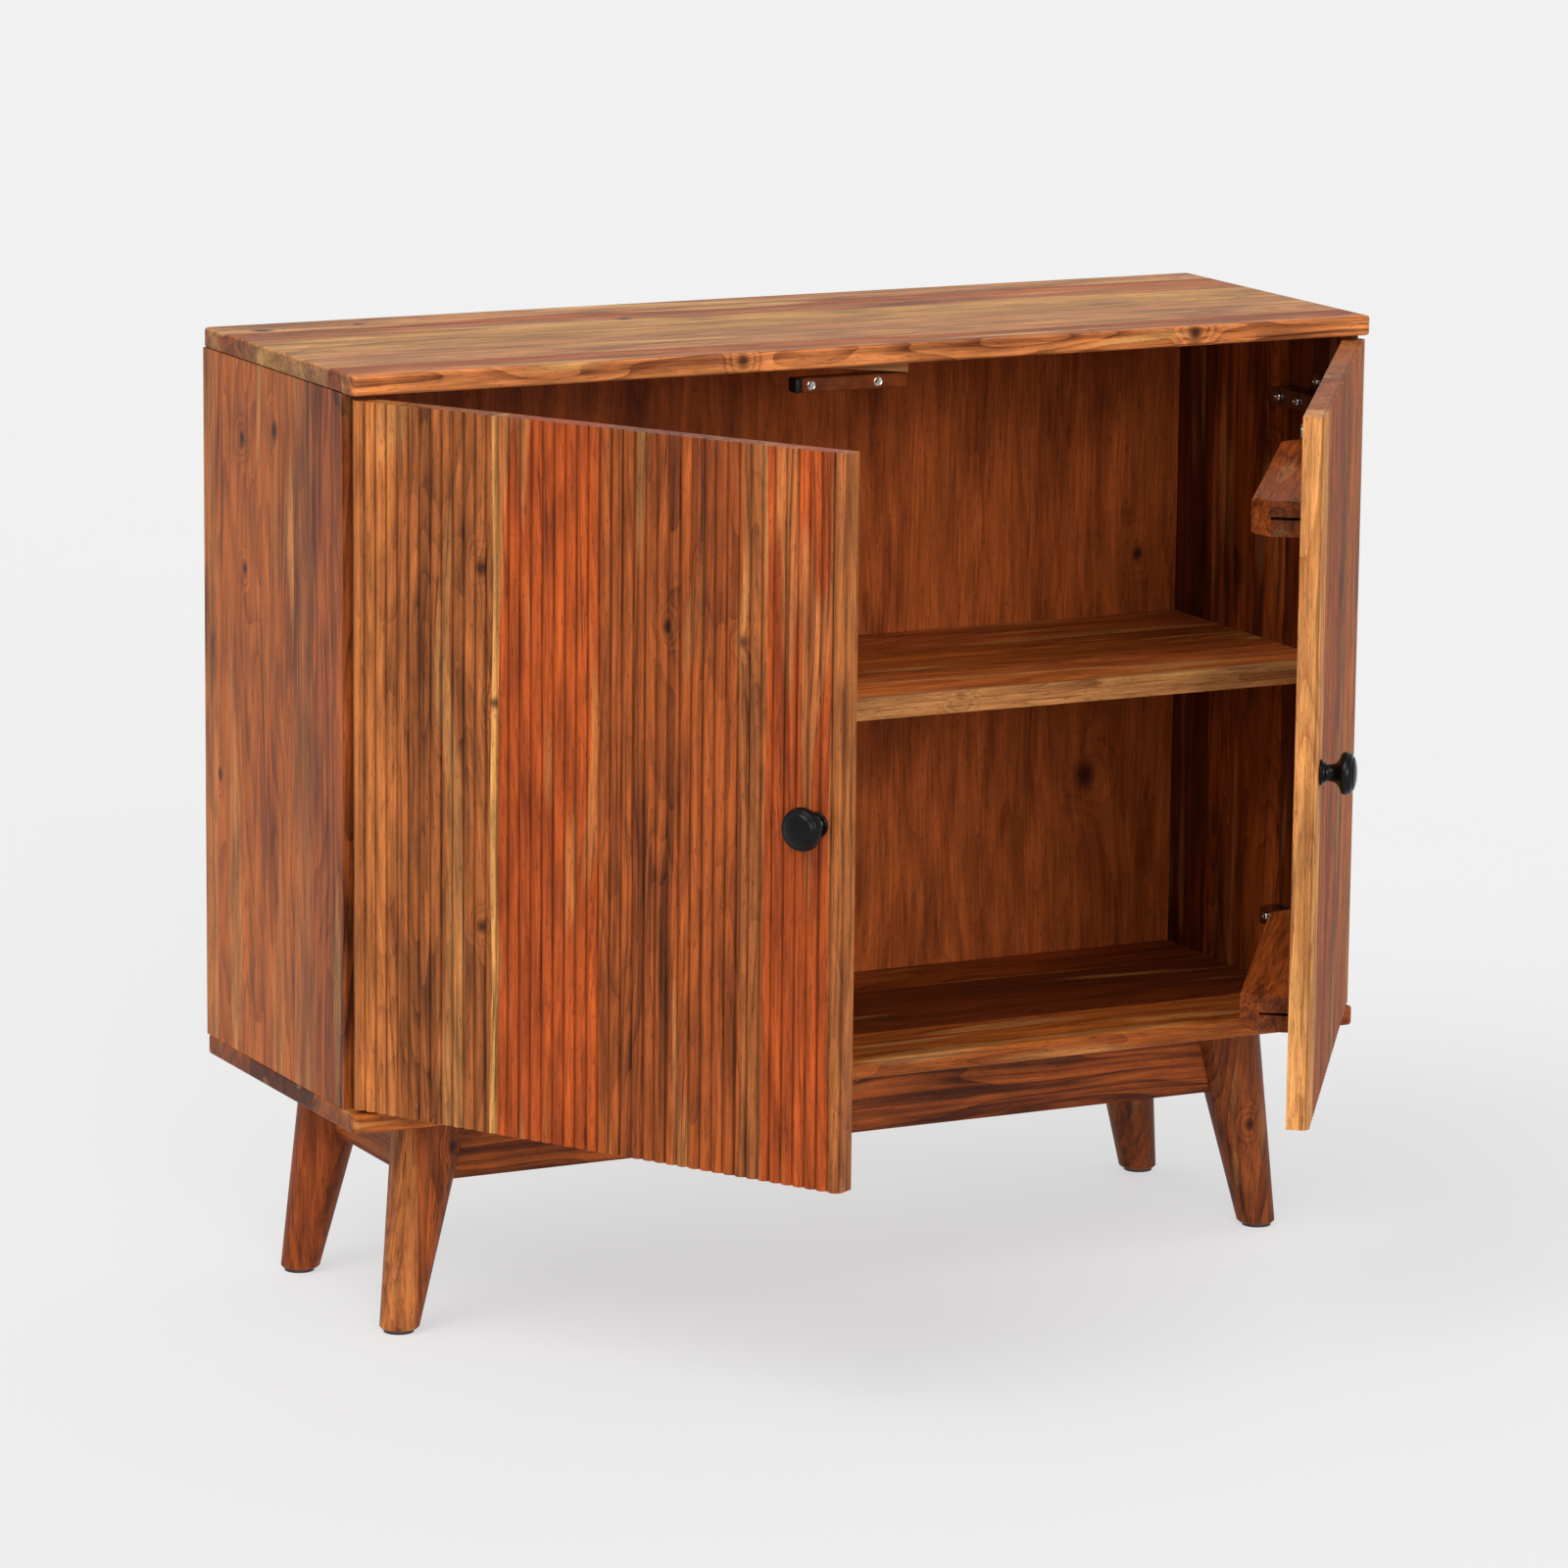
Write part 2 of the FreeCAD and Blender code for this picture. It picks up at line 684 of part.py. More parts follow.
def make_base_hardware():
    """Make the glides, dowels, hanger bolts, nuts and screws of the base frame."""
    glides, dowels, bolts, nuts, screws = [], [], [], [], []
    for sign_x, sign_y in CORNERS.values():
        glides += [rod(pin) for pin in glide_pins(sign_x, sign_y)]
        corner_dowels = apron_dowels(sign_x, sign_y)
        dowels += [rod(pin) for pin in corner_dowels["X"] + corner_dowels["Y"]]
        bolt = brace_bolt(sign_x, sign_y)
        bolts.append(rod(bolt))
        turn = outward_turn(sign_x, sign_y)
        washer_inner = f"({BRACE_BACK} + washer_thick)"
        nut_inner = f"({washer_inner} + nut_thick)"
        washer = Pin(turn, diagonal_point(sign_x, sign_y, washer_inner, BOLT_LEVEL),
                     "washer_radius", "washer_thick")
        nut = doc.addObject("Part::Prism", "Nut")
        nut.Polygon = 6
        nut.Placement = FreeCAD.Placement(FreeCAD.Vector(), turn)
        place = at(diagonal_point(sign_x, sign_y, nut_inner, BOLT_LEVEL))
        bind(nut, {"Circumradius": "nut_radius", "Height": "nut_thick", **place})
        nuts.append(carve(join([rod(washer), nut]), holes([bolt])))
        for pair in frame_screws(sign_x, sign_y):
            screws += [rod(pin) for pin in pair]
    keep("glides", join(glides))
    keep("apron_dowels", join(dowels))
    keep("brace_bolts", join(bolts))
    keep("brace_nuts", join(nuts))
    keep("frame_screws", join(screws))


# ---------------------------------------------------------------- doors


def door_span(sign, near, far):
    """Return the lower local X of a stretch along a door, from near to far of its pivot."""
    return low_end(-sign, near, far)


def door_point(sign, along):
    """Return the local X of a point along a door."""
    return mirrored(-sign, along)


def cup_pins(sign, level):
    """Return the screws of one hinge cup, through its ears into the door's back."""
    x = door_point(sign, f"({CUP_CENTRE} + cup_ear_offset)")
    seat_y = f"({DOOR_BACK} + cup_rim_thick)"
    return [screw("-Y", (x, seat_y, f"{level} {way} cup_screw_spread"), "cup_screw_length")
            for way in "+-"]


def batten_pins(sign, level):
    """Return the three sunk screws that hold one batten to the door's back."""
    seat_y = f"({DOOR_BACK} + batten_projection - batten_screw_sunk)"
    length = "(batten_projection - batten_screw_sunk + batten_screw_bite)"
    first = f"({BATTEN_START} + batten_screw_margin)"
    last = f"({BATTEN_END} - batten_screw_margin)"
    return [screw("-Y", (door_point(sign, along), seat_y, level), length)
            for along in (first, f"(({first} + {last}) / 2)", last)]


def knob_place(sign):
    """Return the local X and the height of a knob's axis."""
    along = door_point(sign, f"({FREE_EDGE} - knob_edge_distance)")
    return along, f"(({FLOOR} + {CEILING}) / 2)"


def knob_pins(sign):
    """Return the machine screw that holds a knob, through the door from its back."""
    x, level = knob_place(sign)
    length = "(door_thick + knob_screw_bite)"
    shank = Pin("-Y", (x, DOOR_BACK, level), "knob_screw_radius", length)
    head = Pin("-Y", (x, f"{DOOR_BACK} + screw_head_thick", level),
               "screw_head_radius", "screw_head_thick")
    return shank, head


def strike_pins(sign):
    """Return the disc and the pin of the strike that meets a door's magnet."""
    magnet = "right_magnet" if sign > 0 else "(-left_magnet)"
    x = door_point(sign, f"({PIVOT_X} - {magnet})")
    level = f"({CEILING} - magnet_drop)"
    disc = Pin("Y", (x, DOOR_BACK, level), "strike_radius", "strike_thick")
    pin = Pin("-Y", (x, DOOR_BACK, level), "strike_pin_radius", "strike_pin_length")
    return disc, pin


def make_door_panel(side, sign):
    """Make a door: a flat core with upright reeds over its whole front."""
    low_x = door_span(sign, HINGE_EDGE, FREE_EDGE)
    width = f"({FREE_EDGE} - {HINGE_EDGE})"
    body = new_body("DoorSlab")
    core = outline(body, rectangle(low_x, DOOR_CORE, f"{low_x} + {width}", DOOR_BACK))
    pad(body, core, f"{DOOR_HEAD} - {DOOR_FOOT}")
    pitch = f"(({width} - 2 * door_edge_land) / reed_count)"
    half_reed = f"(({pitch} - reed_land) / 2)"
    left = f"({low_x} + door_edge_land + reed_land / 2)"
    right = f"({left} + 2 * {half_reed})"
    buried = f"({DOOR_CORE} + reed_depth)"
    radius = f"(({half_reed} ^ 2 + reed_depth ^ 2) / (2 * reed_depth))"
    points = [(left, DOOR_CORE), (right, DOOR_CORE), (right, buried), (left, buried)]
    reed_sketch = outline(body, points, {0: (radius, "reed_depth")})
    reed = pad(body, reed_sketch, f"{DOOR_HEAD} - {DOOR_FOOT}")
    reeds = body.newObject("PartDesign::LinearPattern", "Reeds")
    reeds.Originals = [reed]
    reeds.Direction = (origin_of(body, "X_Axis"), [""])
    bind(reeds, {"Length": f"{pitch} * (reed_count - 1)", "Occurrences": "reed_count"})
    body.Tip = reeds
    bind(body, at(("0", "0", DOOR_FOOT)))
    tools = holes([knob_pins(sign)[0], strike_pins(sign)[1]])
    for level in HINGE_LEVELS.values():
        bore = Pin("-Y", (door_point(sign, CUP_CENTRE), DOOR_BACK, level),
                   "cup_radius + cup_clearance", "cup_depth")
        tools.append(rod(bore))
        tools += holes([shank for shank, _ in cup_pins(sign, level)])
    for level in BATTEN_LEVELS.values():
        tools += holes([shank for shank, _ in batten_pins(sign, level)])
    keep_on_door(f"door_panel_{side}", carve(body, tools), sign)


def make_batten(name, side, sign, level):
    """Make a batten with sloping ends and a saw kerf that opens towards the door."""
    body = new_body("BattenBar")
    low_x = door_span(sign, BATTEN_START, BATTEN_END)
    high_x = f"({low_x} + {BATTEN_END} - {BATTEN_START})"
    outer = f"({DOOR_BACK} + batten_projection)"
    shoulder = f"({outer} - batten_end_chamfer)"
    points = [
        (low_x, DOOR_BACK),
        (high_x, DOOR_BACK),
        (high_x, shoulder),
        (f"{high_x} - batten_end_chamfer", outer),
        (f"{low_x} + batten_end_chamfer", outer),
        (low_x, shoulder),
    ]
    bar = pad(body, outline(body, points), "batten_height")
    inner_face = number(outer)

    def is_outer_long(edge):
        middle = edge.BoundBox.Center
        return is_level(edge) and abs(middle.y - inner_face) < 0.01

    rounded(body, bar, is_outer_long, "batten_edge_round")
    bind(body, at(("0", "0", f"{level} - batten_height / 2")))
    kerf = block((low_x, DOOR_BACK, f"{level} - batten_kerf / 2"),
                 (f"{BATTEN_END} - {BATTEN_START}", "batten_kerf_depth", "batten_kerf"))
    tools = [kerf]
    for shank, head in batten_pins(sign, level):
        x, _, z = head.start
        sink = Pin("-Y", (x, outer, z), head.radius, "batten_screw_sunk")
        tools += holes([shank, sink])
    keep_on_door(f"batten_{name}_{side}", carve(body, tools), sign)


def make_knob(side, sign):
    """Make a turned knob: a flange, a ring, a neck and a domed head with a stepped rim."""
    body = new_body("Knob")
    ring_top = "(knob_flange_thick + knob_ring_thick)"
    head_under = f"({ring_top} + knob_neck_length)"
    head_top = f"({head_under} + knob_head_thick)"
    step_top = f"({head_top} + knob_rim_step)"
    crown = f"({step_top} + knob_dome)"
    points = [
        ("0", "0"),
        ("knob_flange_radius", "0"),
        ("knob_flange_radius", "-knob_flange_thick"),
        ("knob_ring_radius", "-knob_flange_thick"),
        ("knob_ring_radius", f"-{ring_top}"),
        ("knob_neck_radius", f"-{ring_top}"),
        ("knob_neck_radius", f"-{head_under}"),
        ("knob_head_radius", f"-({head_under} + knob_head_thick / 2)"),
        ("knob_head_radius", f"-{head_top}"),
        ("knob_rim_radius", f"-{head_top}"),
        ("knob_rim_radius", f"-{step_top}"),
        ("0", f"-{crown}"),
    ]
    profile = outline(body, points)
    turned = body.newObject("PartDesign::Revolution", "Turned")
    turned.Profile = profile
    turned.ReferenceAxis = (profile, ["V_Axis"])
    turned.Angle = 360
    along, level = knob_place(sign)
    socket = Pin("-Y", ("0", "0", "0"), "knob_screw_radius", "knob_screw_bite")
    piece = carve(body, holes([socket]))
    keep_on_door(f"knob_{side}", piece, sign, (along, "(-pivot_depth)", level))


def make_cup(name, side, sign, level):
    """Make a hinge cup: a pot sunk in the door, its rim, its two ears and its pin."""
    centre = door_point(sign, CUP_CENTRE)
    rim_top = f"({DOOR_BACK} + cup_rim_thick)"
    pot = Pin("-Y", (centre, DOOR_BACK, level), "cup_radius", "cup_depth")
    rim = Pin("-Y", (centre, rim_top, level), "cup_rim_radius", "cup_rim_thick")
    ear_near = f"({CUP_CENTRE} + cup_ear_offset - cup_ear_half_width)"
    ear_far = f"({CUP_CENTRE} + cup_ear_offset + cup_ear_half_width)"
    ears = block((door_span(sign, ear_near, ear_far), DOOR_BACK, f"{level} - cup_ear_half_length"),
                 ("2 * cup_ear_half_width", "cup_rim_thick", "2 * cup_ear_half_length"))
    hollow = Pin("-Y", (centre, rim_top, level), "cup_radius - cup_wall",
                 "cup_rim_thick + cup_depth - cup_wall")
    shell = carve(join([rod(pot), rod(rim), ears]),
                  [rod(hollow)] + holes([shank for shank, _ in cup_pins(sign, level)]))
    pin_half = ("sqrt((cup_radius - cup_wall / 2) ^ 2"
                " - (cup_pin_setback + cup_pin_radius) ^ 2)")
    pin_x = door_point(sign, f"({CUP_CENTRE} + cup_pin_setback)")
    across = Pin("Z", (pin_x, f"{DOOR_BACK} - cup_pin_depth", f"{level} - {pin_half}"),
                 "cup_pin_radius", f"2 * {pin_half}")
    keep_on_door(f"hinge_cup_{name}_{side}", join([shell, rod(across)]), sign)


def make_door(side, sign):
    """Make one door with everything that is fixed to it."""
    make_door_panel(side, sign)
    for name, level in BATTEN_LEVELS.items():
        make_batten(name, side, sign, level)
    for name, level in HINGE_LEVELS.items():
        make_cup(name, side, sign, level)
    make_knob(side, sign)
    batten_rods = []
    for level in BATTEN_LEVELS.values():
        for pair in batten_pins(sign, level):
            batten_rods += [rod(pin) for pin in pair]
    keep_on_door(f"batten_screws_{side}", join(batten_rods), sign)
    cup_rods = []
    for level in HINGE_LEVELS.values():
        for pair in cup_pins(sign, level):
            cup_rods += [rod(pin) for pin in pair]
    keep_on_door(f"cup_screws_{side}", join(cup_rods), sign)
    keep_on_door(f"knob_screw_{side}", join([rod(pin) for pin in knob_pins(sign)]), sign)
    keep_on_door(f"strike_{side}", join([rod(pin) for pin in strike_pins(sign)]), sign)


# ---------------------------------------------------------------- hinges on the sides


def from_side(sign, near, far):
    """Return the lower X of a stretch measured inwards from a side panel's inner face."""
    return low_end(sign, f"({INNER_SIDE} - ({far}))", f"({INNER_SIDE} - ({near}))")


def inward_axis(sign):
    """Return the axis along which screws go outwards into a side panel."""
    return "X" if sign > 0 else "-X"


def plate_pins(sign, level):
    """Return the two screws that hold a mounting plate to its side panel."""
    x = mirrored(sign, f"({INNER_SIDE} - plate_thick)")
    y = f"({SIDE_FRONT} + plate_screw_setback)"
    return [screw(inward_axis(sign), (x, y, f"{level} {way} plate_screw_spread"),
                  "plate_screw_length") for way in "+-"]


def arm_pins(sign, level):
    """Return the two screws that hold a hinge arm to its mounting plate."""
    x = mirrored(sign, f"({INNER_SIDE} - arm_projection)")
    return [screw(inward_axis(sign), (x, f"({SIDE_FRONT} + {setback})", level),
                  "arm_screw_length") for setback in ("arm_screw_front", "arm_screw_rear")]


def upright_block(sign, near, far, setback, length, half_height, level):
    """Make a block on a side panel's inner face, centred on a level."""
    return block((from_side(sign, near, far), f"{SIDE_FRONT} + {setback}",
                  f"{level} - {half_height}"),
                 (f"{far} - ({near})", length, f"2 * {half_height}"))


def make_hinge(name, side, sign, level):
    """Make a hinge's mounting plate, and its arm with the link that reaches for the cup."""
    strip = upright_block(sign, "0", "plate_thick", "plate_front", "plate_length",
                          "plate_half_height", level)
    wings = upright_block(sign, "0", "plate_thick", "wing_front", "wing_width",
                          "wing_half_height", level)
    rib_top = "(plate_thick + rib_thick)"
    rib = upright_block(sign, "plate_thick", rib_top, "rib_front", "rib_length",
                        "rib_half_height", level)
    shanks = [shank for shank, _ in plate_pins(sign, level) + arm_pins(sign, level)]
    keep(f"hinge_plate_{name}_{side}", carve(join([strip, wings, rib]), holes(shanks)))
    channel = upright_block(sign, "plate_thick", "arm_projection", "arm_front", "arm_length",
                            "arm_half_height", level)
    hollow = upright_block(sign, "plate_thick", "arm_projection - arm_wall",
                           "arm_front + arm_wall", "arm_length - arm_wall",
                           "(arm_half_height - arm_wall)", level)
    link = upright_block(sign, "(link_offset - link_thick / 2)", "(link_offset + link_thick / 2)",
                         "(-link_reach)", "link_reach + arm_front + arm_wall",
                         "link_half_height", level)
    barrel = Pin("Z", (mirrored(sign, f"({INNER_SIDE} - link_offset)"),
                       f"{SIDE_FRONT} - link_reach", f"{level} - barrel_half_height"),
                 "barrel_radius", "2 * barrel_half_height")
    shell = carve(channel, [hollow] + holes([shank for shank, _ in arm_pins(sign, level)]))
    keep(f"hinge_arm_{name}_{side}", join([shell, link, rod(barrel)]))


def make_hinges():
    """Make the four hinges' fixed halves and their screws."""
    plate_rods, arm_rods = [], []
    for side, sign in SIDES.items():
        for name, level in HINGE_LEVELS.items():
            make_hinge(name, side, sign, level)
            for pair in plate_pins(sign, level):
                plate_rods += [rod(pin) for pin in pair]
            for pair in arm_pins(sign, level):
                arm_rods += [rod(pin) for pin in pair]
    keep("plate_screws", join(plate_rods))
    keep("arm_screws", join(arm_rods))


# ---------------------------------------------------------------- catch


def catch_pins():
    """Return the two screws that go up through the catch into the top board."""
    y = f"({SIDE_FRONT} + catch_depth / 2)"
    seat = f"({CEILING} - packer_thick - catch_height)"
    length = "(packer_thick + catch_height + catch_screw_bite)"
    return [screw("Z", (x, y, seat), length) for x in ("catch_screw_left", "catch_screw_right")]


def make_catch():
    """Make the double magnetic catch under the middle of the top board."""
    shanks = [shank for shank, _ in catch_pins()]
    packer_under = f"({CEILING} - packer_thick)"
    catch_under = f"({packer_under} - catch_height)"
    packer = block(("-packer_left", SIDE_FRONT, packer_under),
                   ("packer_left + catch_right", "catch_depth", "packer_thick"))
    keep("catch_packer", carve(packer, holes(shanks)))
    housing = block(("-catch_left", SIDE_FRONT, catch_under),
                    ("catch_left + catch_right", "catch_depth", "catch_height"))
    face = f"({SIDE_FRONT} - (door_gap_behind - strike_thick - magnet_gap))"
    magnets = [Pin("Y", (x, face, f"{CEILING} - magnet_drop"), "magnet_radius", "magnet_length")
               for x in ("left_magnet", "right_magnet")]
    keep("catch_body", carve(housing, holes(shanks + magnets)))
    keep("catch_end_cap", block(("-(catch_left + catch_cap_length)", SIDE_FRONT, catch_under),
                                ("catch_cap_length", "catch_depth", "catch_height")))
    keep("catch_magnets", join([rod(pin) for pin in magnets]))
    keep("catch_screws", join([rod(pin) for pair in catch_pins() for pin in pair]))


# ---------------------------------------------------------------- assembly


def make_cabinet():
    """Make every sub-part of the cabinet."""
    dowels = carcass_dowels()
    side_pins = []
    for sign in SIDES.values():
        for level in HINGE_LEVELS.values():
            side_pins += [shank for shank, _ in plate_pins(sign, level)]
    frame_pins = []
    for sign_x, sign_y in CORNERS.values():
        frame_pins += [shank for shank, _ in frame_screws(sign_x, sign_y)]
    make_boards(dowels, [shank for shank, _ in catch_pins()], frame_pins)
    make_sides(dowels, side_pins)
    make_back_and_shelf(dowels)
    make_carcass_dowels(dowels)
    for corner, (sign_x, sign_y) in CORNERS.items():
        make_corner(corner, sign_x, sign_y)
    make_aprons()
    make_base_hardware()
    make_hinges()
    make_catch()
    for side, sign in SIDES.items():
        make_door(side, sign)


def check_model():
    """Stop if any feature failed or any sub-part is empty or broken."""
    for item in doc.Objects:
        if "Invalid" in item.State or "Error" in item.State:
            raise RuntimeError(f"{item.Name} ({item.Label}) failed to recompute: {item.State}")
    for part in parts:
        if part.Shape.isNull() or not part.Shape.isValid() or not part.Shape.Solids:
            raise RuntimeError(f"{part.Label} has no sound solid")


def export():
    """Write each sub-part to its own file."""
    os.makedirs("parts", exist_ok=True)
    for part in parts:
        part.Shape.exportStep(f"parts/{part.Label}.step")
    print(f"{len(parts)} sub-parts written")


fill_sheet()
make_cabinet()
doc.recompute()
check_model()
export()
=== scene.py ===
"""Looks for a two-door television stand of solid acacia on four splayed legs.

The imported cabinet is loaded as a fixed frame. Each sub-assembly is a class that
models its detailed pieces and dresses its nodes with procedural finishes.
Lengths in the finishes are millimetres; everything placed is in metres.
"""

from __future__ import annotations

import json
import logging
import math
from dataclasses import dataclass
from enum import Enum
from typing import Any, Callable, Iterable, Sequence
import bpy
from bpy.types import Material, Node, NodeSocket, NodeTree, Object
from mathutils import Matrix, Vector


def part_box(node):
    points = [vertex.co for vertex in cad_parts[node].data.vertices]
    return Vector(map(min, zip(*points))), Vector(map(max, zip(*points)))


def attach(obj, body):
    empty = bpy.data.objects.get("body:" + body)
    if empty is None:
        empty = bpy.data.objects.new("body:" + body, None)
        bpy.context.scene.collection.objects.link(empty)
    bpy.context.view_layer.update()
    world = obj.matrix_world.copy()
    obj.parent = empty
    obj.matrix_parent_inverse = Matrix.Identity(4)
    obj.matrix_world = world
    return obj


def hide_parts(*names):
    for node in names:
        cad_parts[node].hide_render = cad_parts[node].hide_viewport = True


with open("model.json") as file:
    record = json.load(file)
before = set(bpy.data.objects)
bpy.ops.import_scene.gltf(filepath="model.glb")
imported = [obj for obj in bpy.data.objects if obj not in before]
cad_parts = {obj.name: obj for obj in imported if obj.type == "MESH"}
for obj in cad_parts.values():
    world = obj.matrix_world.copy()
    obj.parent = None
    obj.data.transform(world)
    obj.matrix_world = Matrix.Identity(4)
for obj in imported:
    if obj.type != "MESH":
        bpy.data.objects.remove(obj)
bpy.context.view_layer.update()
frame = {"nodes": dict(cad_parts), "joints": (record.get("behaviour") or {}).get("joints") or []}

LOG = logging.getLogger("television_stand")
MM = 0.001
HEAD_RADIUS = 4.0  # of every cross-head screw, in mm
Point = tuple[float, float, float]
Size = tuple[float, float]


class Axis(Enum):
    """The three directions of the cabinet, by their place in a vector."""

    X = 0
    Y = 1
    Z = 2


class Side(Enum):
    """The two doors, by the sign of the side of the cabinet that they hang on."""

    LEFT = -1
    RIGHT = 1

    @property
    def word(self) -> str:
        """Return the side's word in the names of the nodes."""
        return self.name.lower()


# ---------------------------------------------------------------- colour and nodes


def linear(code: str) -> tuple[float, float, float, float]:
    """Turn an sRGB hex code into a linear colour.

    Args:
        code: The colour as #RRGGBB.

    Returns:
        Red, green, blue and alpha, each from 0 to 1.
    """
    values = [int(code[i : i + 2], 16) / 255 for i in (1, 3, 5)]
    red, green, blue = (
        v / 12.92 if v <= 0.04045 else ((v + 0.055) / 1.055) ** 2.4 for v in values
    )
    return red, green, blue, 1.0


def add_node(
    tree: NodeTree, kind: str, settings: dict[str, Any] | None = None,
    inputs: dict[Any, Any] | None = None,
) -> Node:
    """Add one node, set its properties, and fill or link its inputs.

    Args:
        tree: The node tree to add to.
        kind: The node's type, without its "ShaderNode" start.
        settings: The node's properties by name.
        inputs: Values, or sockets to link from, by input name or number.

    Returns:
        The new node.
    """
    node = tree.nodes.new("ShaderNode" + kind)
    for name, value in (settings or {}).items():
        setattr(node, name, value)
    for key, value in (inputs or {}).items():
        if isinstance(value, NodeSocket):
            tree.links.new(value, node.inputs[key])
        else:
            node.inputs[key].default_value = value
    return node


def fill_ramp(node: Node, stops: Sequence[tuple[float, Sequence[float]]]) -> None:
    """Give a colour ramp its stops.

    Args:
        node: The colour ramp node.
        stops: Each stop's place from 0 to 1 and its linear colour, in order.
    """
    elements = node.color_ramp.elements
    while len(elements) < len(stops):
        elements.new(0.5)
    for element, (place, colour) in zip(elements, stops):
        element.position = place
        element.color = (*colour[:3], 1.0)


def new_material(name: str) -> tuple[Material, NodeTree, Node]:
    """Make an empty material with a shader and its output.

    Args:
        name: The material's name.

    Returns:
        The material, its node tree and its Principled shader.
    """
    material = bpy.data.materials.new(name)
    material.use_nodes = True
    tree = material.node_tree
    tree.nodes.clear()
    shader = add_node(tree, "BsdfPrincipled")
    add_node(tree, "OutputMaterial", None, {"Surface": shader.outputs[0]})
    return material, tree, shader


# ---------------------------------------------------------------- finishes


@dataclass(frozen=True)
class Lay:
    """How a board lies: where its pattern starts and which way its grain runs."""

    grain: Axis
    across: Axis
    origin: Point = (0.0, 0.0, 0.0)
    turn: float = 0.0

    @property
    def depth(self) -> Axis:
        """Return the direction through the board."""
        return next(a for a in Axis if a not in (self.grain, self.across))

    def grain_direction(self) -> Point:
        """Return the grain's direction in the cabinet's frame."""
        local = Vector([float(a is self.grain) for a in Axis])
        return tuple(Matrix.Rotation(self.turn, 3, "Z") @ local)

    def place(self, tree: NodeTree) -> Node:
        """Add the nodes that turn object coordinates into board millimetres.

        Args:
            tree: The material's node tree.

        Returns:
            A node whose output is (across, along the grain, through) in mm.
        """
        coordinates = add_node(tree, "TexCoord")
        mapped = add_node(
            tree, "Mapping", {"vector_type": "TEXTURE"},
            {"Vector": coordinates.outputs["Object"], "Location": self.origin,
             "Rotation": (0, 0, self.turn), "Scale": (MM, MM, MM)},
        )
        parts = add_node(tree, "SeparateXYZ", None, {0: mapped.outputs[0]}).outputs
        order = (self.across, self.grain, self.depth)
        turned = {i: parts[axis.value] for i, axis in enumerate(order)}
        return add_node(tree, "CombineXYZ", None, turned)


@dataclass(frozen=True)
class Plank:
    """One plank of a glued-up board: where it starts across the board, and its looks."""

    start: float
    pale: str
    dark: str
    streaks: float = 0.55
    rings: float = 0.45


@dataclass(frozen=True)
class Knot:
    """A knot: its place across, along and through a board, and its radius, in mm."""

    across: float
    along: float
    radius: float
    through: float = 0.0


# Sizes of the slow patterns in acacia, across and along the grain, in mm.
RING_WAVE: Size = (60.0, 430.0)
JOINT_WANDER: Size = (30.0, 260.0)
MOTTLES: Size = (38.0, 150.0)
SAPWOOD_PATCHES: Size = (24.0, 300.0)
LINE_CROWDS: Size = (22.0, 260.0)
CLOUDS: Size = (13.0, 90.0)

# Where each noise starts to show and where it is full; noise runs from 0 to 1.
STREAK_BAND = {"From Min": 0.40, "From Max": 0.66}
MOTTLE_BAND = {"From Min": 0.3, "From Max": 0.7}
SAPWOOD_BAND = {"From Min": 0.60, "From Max": 0.68}
LINE_BAND = {"From Min": 0.52, "From Max": 0.70}
CROWD_BAND = {"From Min": 0.38, "From Max": 0.66, "To Min": 0.12}
PORE_BAND = {"From Min": 0.60, "From Max": 0.70}
WIDE_BAND = {"From Min": 0.25, "From Max": 0.75}
END_GRAIN_BAND = {"From Min": 0.75, "From Max": 1.0}  # how squarely a face cuts the grain

# How much each pattern darkens or lightens the wood.
CLOUD_SHADE = {"To Min": 0.62, "To Max": 1.36}
FIBRE_SHADE = {"To Min": 0.66, "To Max": 1.34}
# Darkens the pores, which is the wood's own colour, and paints shade into the reeds' valleys.
PORE_AND_PAINTED_VALLEY_SHADE = {"To Min": 1.0, "To Max": 0.66}  # in pores and in the reeds' valleys

# Around a knot, in its own radii: the rings bend within its reach, its core is dark.
KNOT_SHAPE = (1.0, 0.75, 0.7)
KNOT_REACH = 4.5
KNOT_CORE = 1.8
KNOT_PUSH = 2.6  # in rings

RING_SHARPNESS = 2.4
PLANK_SEED_START, PLANK_SEED_STEP = 0.137, 0.379
PLANK_SHIFT = (613.0, 4177.0, 291.0)  # in mm, so that no two planks share a figure
# Width in mm of the band of painted shade along each valley between the reeds.
PAINTED_SHADE_VALLEY_WIDTH = 0.9


